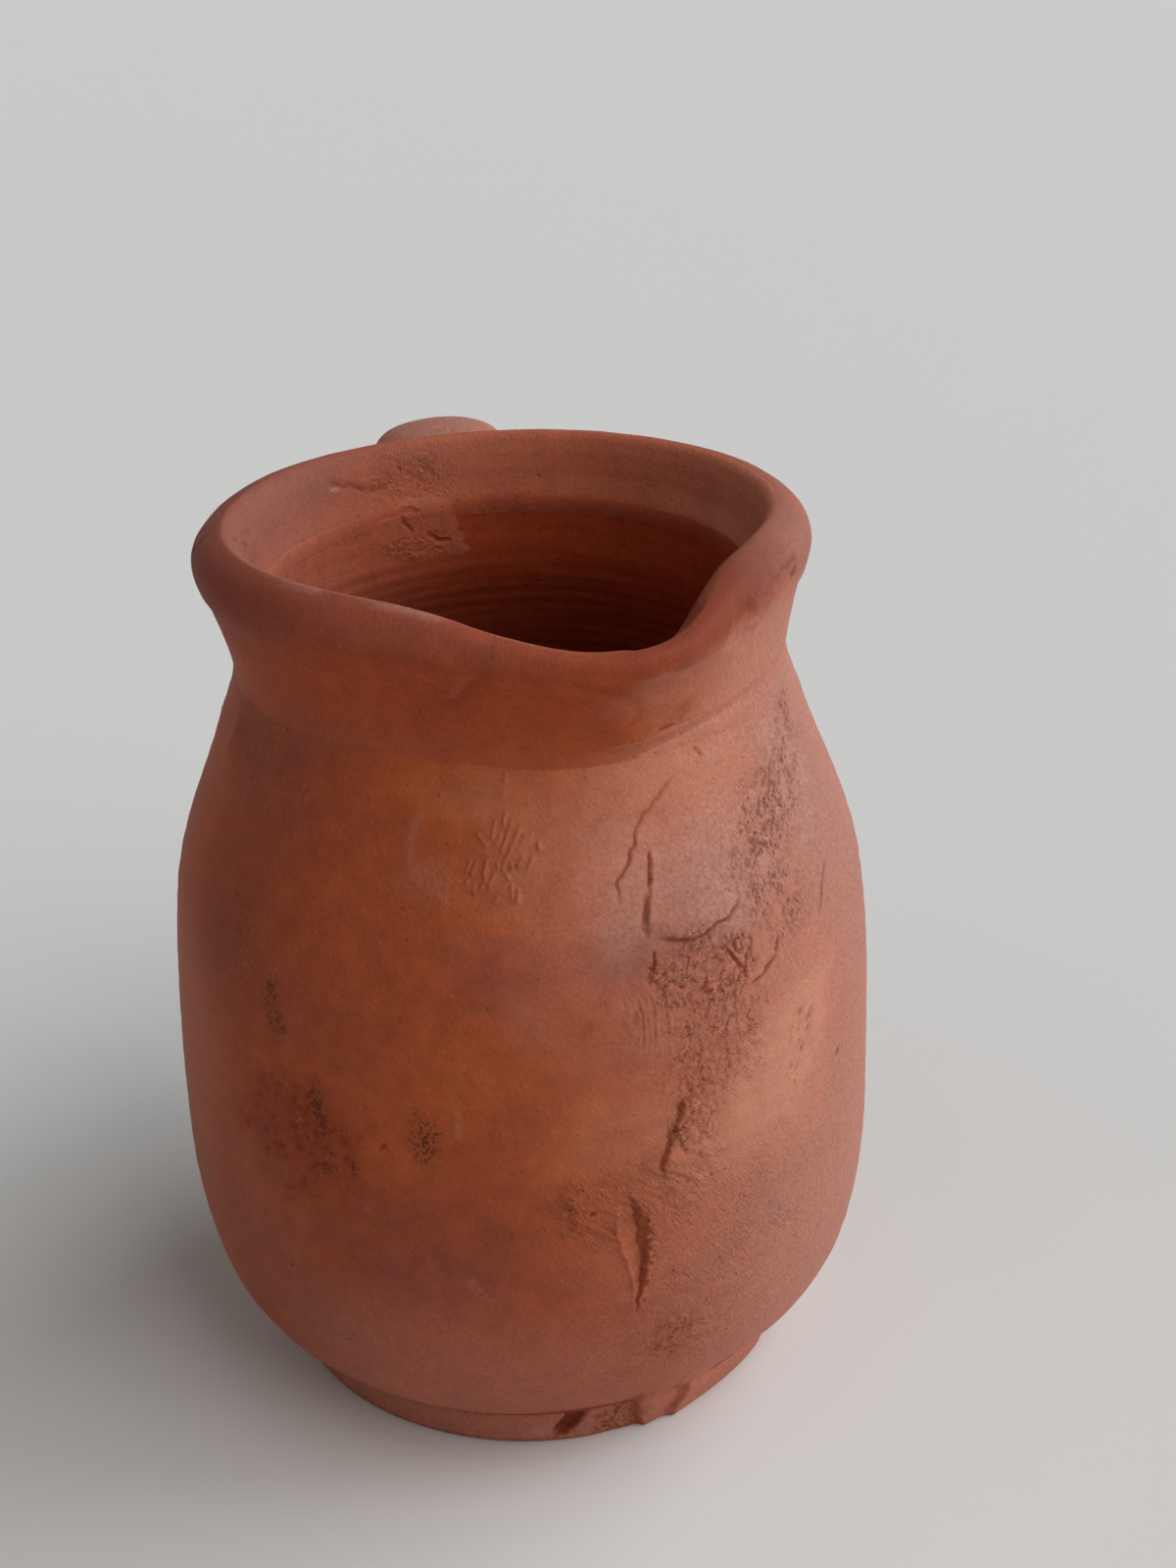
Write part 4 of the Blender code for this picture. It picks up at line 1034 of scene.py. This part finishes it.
skin = ClaySkin(inner_patch)
skin.turn = skin.turn % 360
skin.girth = 40
skin.face = cover
skin.relief += 0.15 * skin.lumps(7, 121) * cover
skin.tear(0.55 * skin.patch(194, 137.4, 8, 3.6, 1.1, 0.4, 122), 2.2, 0.36, 123, 0.8, 60, 0.4)
skin.tear(0.25 * skin.patch(195, 148, 8, 5, 1.1, 0.4, 124), 2.0, 0.2, 125, 1.8, 0, 0.3)
skin.crack(((207.5, 146.7), (201.6, 145.5), (194.7, 145.9), (191, 145)), 0.34, 0.5, 0.4, 126, 0.6)
skin.crack(((197.3, 145), (194.7, 142.3), (194, 141)), 0.3, 0.35, 0.4, 127, 0.5)
skin.crack(((190.4, 141.2), (186.1, 138.9), (183.4, 138.7)), 0.34, 0.5, 0.4, 128, 0.6)
skin.crack(((203.4, 138), (202.4, 136.4), (201.4, 134.6)), 0.5, 0.4, 0.6, 129, 0.5)
skin.face = 1
skin.bake(-0.35)
skin.stain("scuff_and_painted_light", 0.13 + 0.1 * skin.above(144, 4))
skin.stain("red", 0.25)
skin.set()
backing = inner_patch.modifiers.new("backing", "SOLIDIFY")
backing.thickness = PATCH_BACKING * MM
backing.offset = -1
bpy.context.view_layer.objects.active = inner_patch
bpy.ops.object.modifier_apply(modifier="backing")
inner_patch.data.materials.append(collar.data.materials[0])
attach(inner_patch, "root")
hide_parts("inner_patch")

# Handle: a strap of clay pulled by hand, so its back has two finger grooves. It was pressed on to
# the collar and the belly while both were damp.
STRAP_WIDTH = 23.0
STRAP_THICKNESS = 9.0
STRAP_ROOT_SWELL = 1.15
STRAP_SECTION_STEPS = 16
STRAP_STEPS = 26
HAND_GAP = 23.0
HANDLE_TOP = Vector((0, 50.3, 147.5))
HANDLE_BASE_HEIGHT = 70.0
HANDLE_BASE = Vector((0, float(wall_radius(HANDLE_BASE_HEIGHT)), HANDLE_BASE_HEIGHT))
HANDLE_REACH = max(radius for radius, _ in WALL_LEVELS) + HAND_GAP + STRAP_THICKNESS / 2
handle_route = (
    (HANDLE_TOP + Vector((0, -3.5, -1.0)), STRAP_ROOT_SWELL),
    (HANDLE_TOP, STRAP_ROOT_SWELL),
    (HANDLE_TOP + Vector((0, 15, 3)), 1),
    (Vector((0, HANDLE_REACH, (HANDLE_TOP.z + HANDLE_BASE.z + STRAP_THICKNESS) / 2)), 1),
    (HANDLE_BASE + Vector((0, 15, 9)), 1),
    (HANDLE_BASE, STRAP_ROOT_SWELL),
    (HANDLE_BASE + Vector((0, -3.5, -1.7)), STRAP_ROOT_SWELL),
)
bpy.ops.object.select_all(action="DESELECT")
bpy.ops.curve.primitive_bezier_circle_add(radius=MM / 2)
strap_section = bpy.context.object
bpy.ops.transform.resize(value=(STRAP_WIDTH, STRAP_THICKNESS, 1))
bpy.ops.object.transform_apply(location=False, rotation=False, scale=True)
strap_section.data.resolution_u = STRAP_SECTION_STEPS
bpy.ops.curve.primitive_bezier_curve_add()
handle = bpy.context.object
handle.name = "strap_handle"
handle_curve = handle.data
handle_curve.splines[0].bezier_points.add(len(handle_route) - 2)
handle_curve.resolution_u = STRAP_STEPS
handle_curve.twist_mode = "MINIMUM"
handle_curve.bevel_mode = "OBJECT"
handle_curve.bevel_object = strap_section
handle_curve.use_fill_caps = True
for point, (place, swell) in zip(handle_curve.splines[0].bezier_points, handle_route):
    point.co = place * MM
    point.handle_left_type = point.handle_right_type = "AUTO"
    point.radius = swell
bpy.ops.object.select_all(action="DESELECT")
handle.select_set(True)
bpy.context.view_layer.objects.active = handle
bpy.ops.object.convert(target="MESH")
bpy.data.objects.remove(strap_section)
handle.data.name = handle.name
bpy.ops.object.mode_set(mode="EDIT")
bpy.ops.mesh.select_all(action="SELECT")
bpy.ops.mesh.remove_doubles(threshold=WELD_GAP)
bpy.ops.mesh.normals_make_consistent(inside=False)
bpy.ops.object.mode_set(mode="OBJECT")
skin = ClaySkin(handle)
loop_middle = np.array([0, 62, 108])
back = smooth(np.einsum("ij,ij->i", skin.normals, skin.points - loop_middle) / 20)
across = skin.points[:, 0]
grooves = bell((across - 5) / 2.4) + bell((across + 4.4) / 2.6)
skin.relief -= 0.45 * back * grooves * skin.below(146, 14)
skin.relief -= 0.35 * (1 - back) * bell(across / 4)
skin.relief += skin.uneven(131, (0.35, 30), (0.08, 9), (0.03, 2.4))
skin.bake(-0.1)
skin.stain("scuff_and_painted_light", 0.12 * back * smooth(skin.lumps(8, 134)))
crest = smooth((skin.height - 136 + 4 * skin.lumps(9, 135)) / 16)
skin.stain("scuff_and_painted_light", 0.5 * back * crest)
skin.bake(-0.8 * crest)
skin.set()
handle_clay = fired_clay("handle_clay", 0.3, 0.6)
handle.data.materials.append(handle_clay)
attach(handle, "root")
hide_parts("handle")

# Handle slips: the liquid clay between the strap's ends and the pot. The strap and the wads
# cover it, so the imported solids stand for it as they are.
for slip_name in ("handle_top_slip", "handle_base_slip"):
    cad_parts[slip_name].data.materials.clear()
    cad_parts[slip_name].data.materials.append(slip_clay)

# Wads: rolls of soft clay thumbed into the corner round each end of the strap, so that the
# handle runs into the pot without a sharp edge.
WAD_HALF_WIDTH = 20.5
WAD_RISE = 10.5
WAD_TAIL = 17.0
WAD_DEPTH = 8.0
WAD_NECK_HALF_WIDTH = 9.5
WAD_NECK_HALF_HEIGHT = 3.6
WAD_CURVE = 1.75
WAD_SINK = 0.9
WAD_BACK = 1.6
WAD_CEILING = 155.5
WAD_SEGMENTS = 120
WAD_RINGS = 22


def pot_radius(heights):
    """The outer radius of the wall and, above the neck, of the collar."""
    radii, levels = np.array(collar_outline[: LIP_CORNER * COLLAR_STEPS]).T
    rising = np.argsort(levels)
    flare = np.interp(heights, levels[rising], radii[rising])
    return np.where(heights < NECK_HEIGHT, wall_radius(np.minimum(heights, NECK_HEIGHT)), flare)


for wad_name, wad_node, root, seed in (
    ("upper_wad", "handle_top_wad", HANDLE_TOP, 141),
    ("lower_wad", "handle_base_wad", HANDLE_BASE, 151),
):
    bpy.ops.object.select_all(action="DESELECT")
    bpy.ops.mesh.primitive_circle_add(vertices=WAD_SEGMENTS, radius=MM, fill_type="NGON")
    wad = bpy.context.object
    wad.name = wad.data.name = wad_name
    bpy.ops.object.mode_set(mode="EDIT")
    bpy.ops.mesh.select_all(action="SELECT")
    for _ in range(WAD_RINGS):
        bpy.ops.mesh.extrude_region_move(TRANSFORM_OT_translate={"value": (0, 0, MM)})
    bpy.ops.object.mode_set(mode="OBJECT")
    wad.data.update()
    cage = np.array([vertex.co for vertex in wad.data.vertices]) / MM
    spread = np.clip(1 - cage[:, 2] / (WAD_RINGS - 1), 0, 1)
    around = np.arctan2(cage[:, 1], cage[:, 0])
    half_width = WAD_NECK_HALF_WIDTH + (WAD_HALF_WIDTH - WAD_NECK_HALF_WIDTH) * spread
    edge_height = np.where(cage[:, 1] > 0, WAD_RISE, WAD_TAIL)
    half_height = WAD_NECK_HALF_HEIGHT + (edge_height - WAD_NECK_HALF_HEIGHT) * spread
    x = half_width * np.cos(around)
    z = np.minimum(root.z + half_height * np.sin(around), WAD_CEILING)
    depth = WAD_DEPTH * (1 - spread) ** WAD_CURVE - WAD_SINK * spread**6
    depth[cage[:, 2] < 0.5] = -WAD_BACK
    y = np.sqrt(np.maximum(pot_radius(z) ** 2 - x**2, 1)) + depth
    places = np.stack([x, y, z], 1) * MM
    wad.data.vertices.foreach_set("co", places.astype(np.float32).ravel())
    wad.data.update()
    bpy.ops.object.mode_set(mode="EDIT")
    bpy.ops.mesh.select_all(action="SELECT")
    bpy.ops.mesh.normals_make_consistent(inside=False)
    bpy.ops.object.mode_set(mode="OBJECT")
    skin = ClaySkin(wad)
    thumbed = 0.32 * np.sin(around * 4 + 2 * skin.lumps(12, seed)) * np.sin(math.pi * spread)
    skin.relief += thumbed + skin.uneven(seed + 1, (0.2, 10), (0.05, 3))
    skin.bake(-0.25)
    skin.set()
    wad.data.materials.append(handle_clay)
    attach(wad, "root")
    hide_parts(wad_node)

# Floor, light and camera: a plain pale floor, two broad soft lights from the right, as from
# windows, a weak one from the left, and the photograph's view.
FLOOR_SIZE = 12
FLOOR_GREY = (0.74, 0.74, 0.74, 1)
FLOOR_ROUGHNESS = 0.9
WINDOW_SOFTNESS = math.radians(55)
SKY_LIGHT = (0.14, 0.133, 0.123, 1)
SKY_SEEN = (0.597, 0.597, 0.588, 1)
bpy.ops.object.select_all(action="DESELECT")
bpy.ops.mesh.primitive_plane_add(size=FLOOR_SIZE)
floor = bpy.context.object
floor.name = "pale_floor"
pale = bpy.data.materials.new("pale_floor")
pale.use_nodes = True
pale.node_tree.nodes["Principled BSDF"].inputs["Base Color"].default_value = FLOOR_GREY
pale.node_tree.nodes["Principled BSDF"].inputs["Roughness"].default_value = FLOOR_ROUGHNESS
floor.data.materials.append(pale)

for light_name, turn, climb, power, colour in (
    ("window", 44, 42, 1.4, (1.0, 0.97, 0.94)),
    ("side_window", 98, 30, 1.95, (0.90, 0.97, 1.0)),
    ("far_window", -75, 50, 0.2, (1.0, 0.94, 0.86)),
):
    bpy.ops.object.light_add(type="SUN")
    lamp = bpy.context.object
    lamp.name = light_name
    lamp.data.energy = power
    lamp.data.angle = WINDOW_SOFTNESS
    lamp.data.color = colour
    lamp.rotation_euler = (math.radians(90 - climb), 0, math.radians(turn))

world = bpy.data.worlds.new("studio")
bpy.context.scene.world = world
world.use_nodes = True
background = world.node_tree.nodes["Background"]
seen = world.node_tree.nodes.new("ShaderNodeLightPath")
shown = seen.outputs["Is Camera Ray"]
for ray in ("Is Glossy Ray", "Is Transmission Ray"):
    either = world.node_tree.nodes.new("ShaderNodeMath")
    either.operation = "MAXIMUM"
    world.node_tree.links.new(shown, either.inputs[0])
    world.node_tree.links.new(seen.outputs[ray], either.inputs[1])
    shown = either.outputs[0]
sky = world.node_tree.nodes.new("ShaderNodeMix")
sky.data_type = "RGBA"
sky.inputs[6].default_value = SKY_LIGHT
sky.inputs[7].default_value = SKY_SEEN
world.node_tree.links.new(shown, sky.inputs[0])
world.node_tree.links.new(sky.outputs[2], background.inputs["Color"])

VIEW_SPIN = math.radians(-11)
VIEW_PITCH = math.radians(25.76)
VIEW_YAW = math.radians(2.11)
VIEW_ROLL = math.radians(-1.60)
VIEW_DISTANCE = 0.3411
VIEW_HEIGHT = 0.2711
VIEW_LENS = 49.5
VIEW_SENSOR = 36
level_ahead = Vector((math.sin(VIEW_YAW), math.cos(VIEW_YAW), 0))
ahead = level_ahead * math.cos(VIEW_PITCH) - Vector((0, 0, math.sin(VIEW_PITCH)))
level_right = Vector((math.cos(VIEW_YAW), -math.sin(VIEW_YAW), 0))
level_up = level_right.cross(ahead)
view_right = level_right * math.cos(VIEW_ROLL) + level_up * math.sin(VIEW_ROLL)
view_up = level_up * math.cos(VIEW_ROLL) - level_right * math.sin(VIEW_ROLL)
stand = Matrix((view_right, view_up, -ahead)).transposed().to_4x4()
stand.translation = (0, -VIEW_DISTANCE, VIEW_HEIGHT)
bpy.ops.object.camera_add()
camera = bpy.context.object
camera.data.lens = VIEW_LENS
camera.data.sensor_width = VIEW_SENSOR
camera.matrix_world = Matrix.Rotation(VIEW_SPIN, 4, "Z") @ stand
bpy.context.scene.camera = camera
bpy.context.scene.view_settings.view_transform = "Standard"
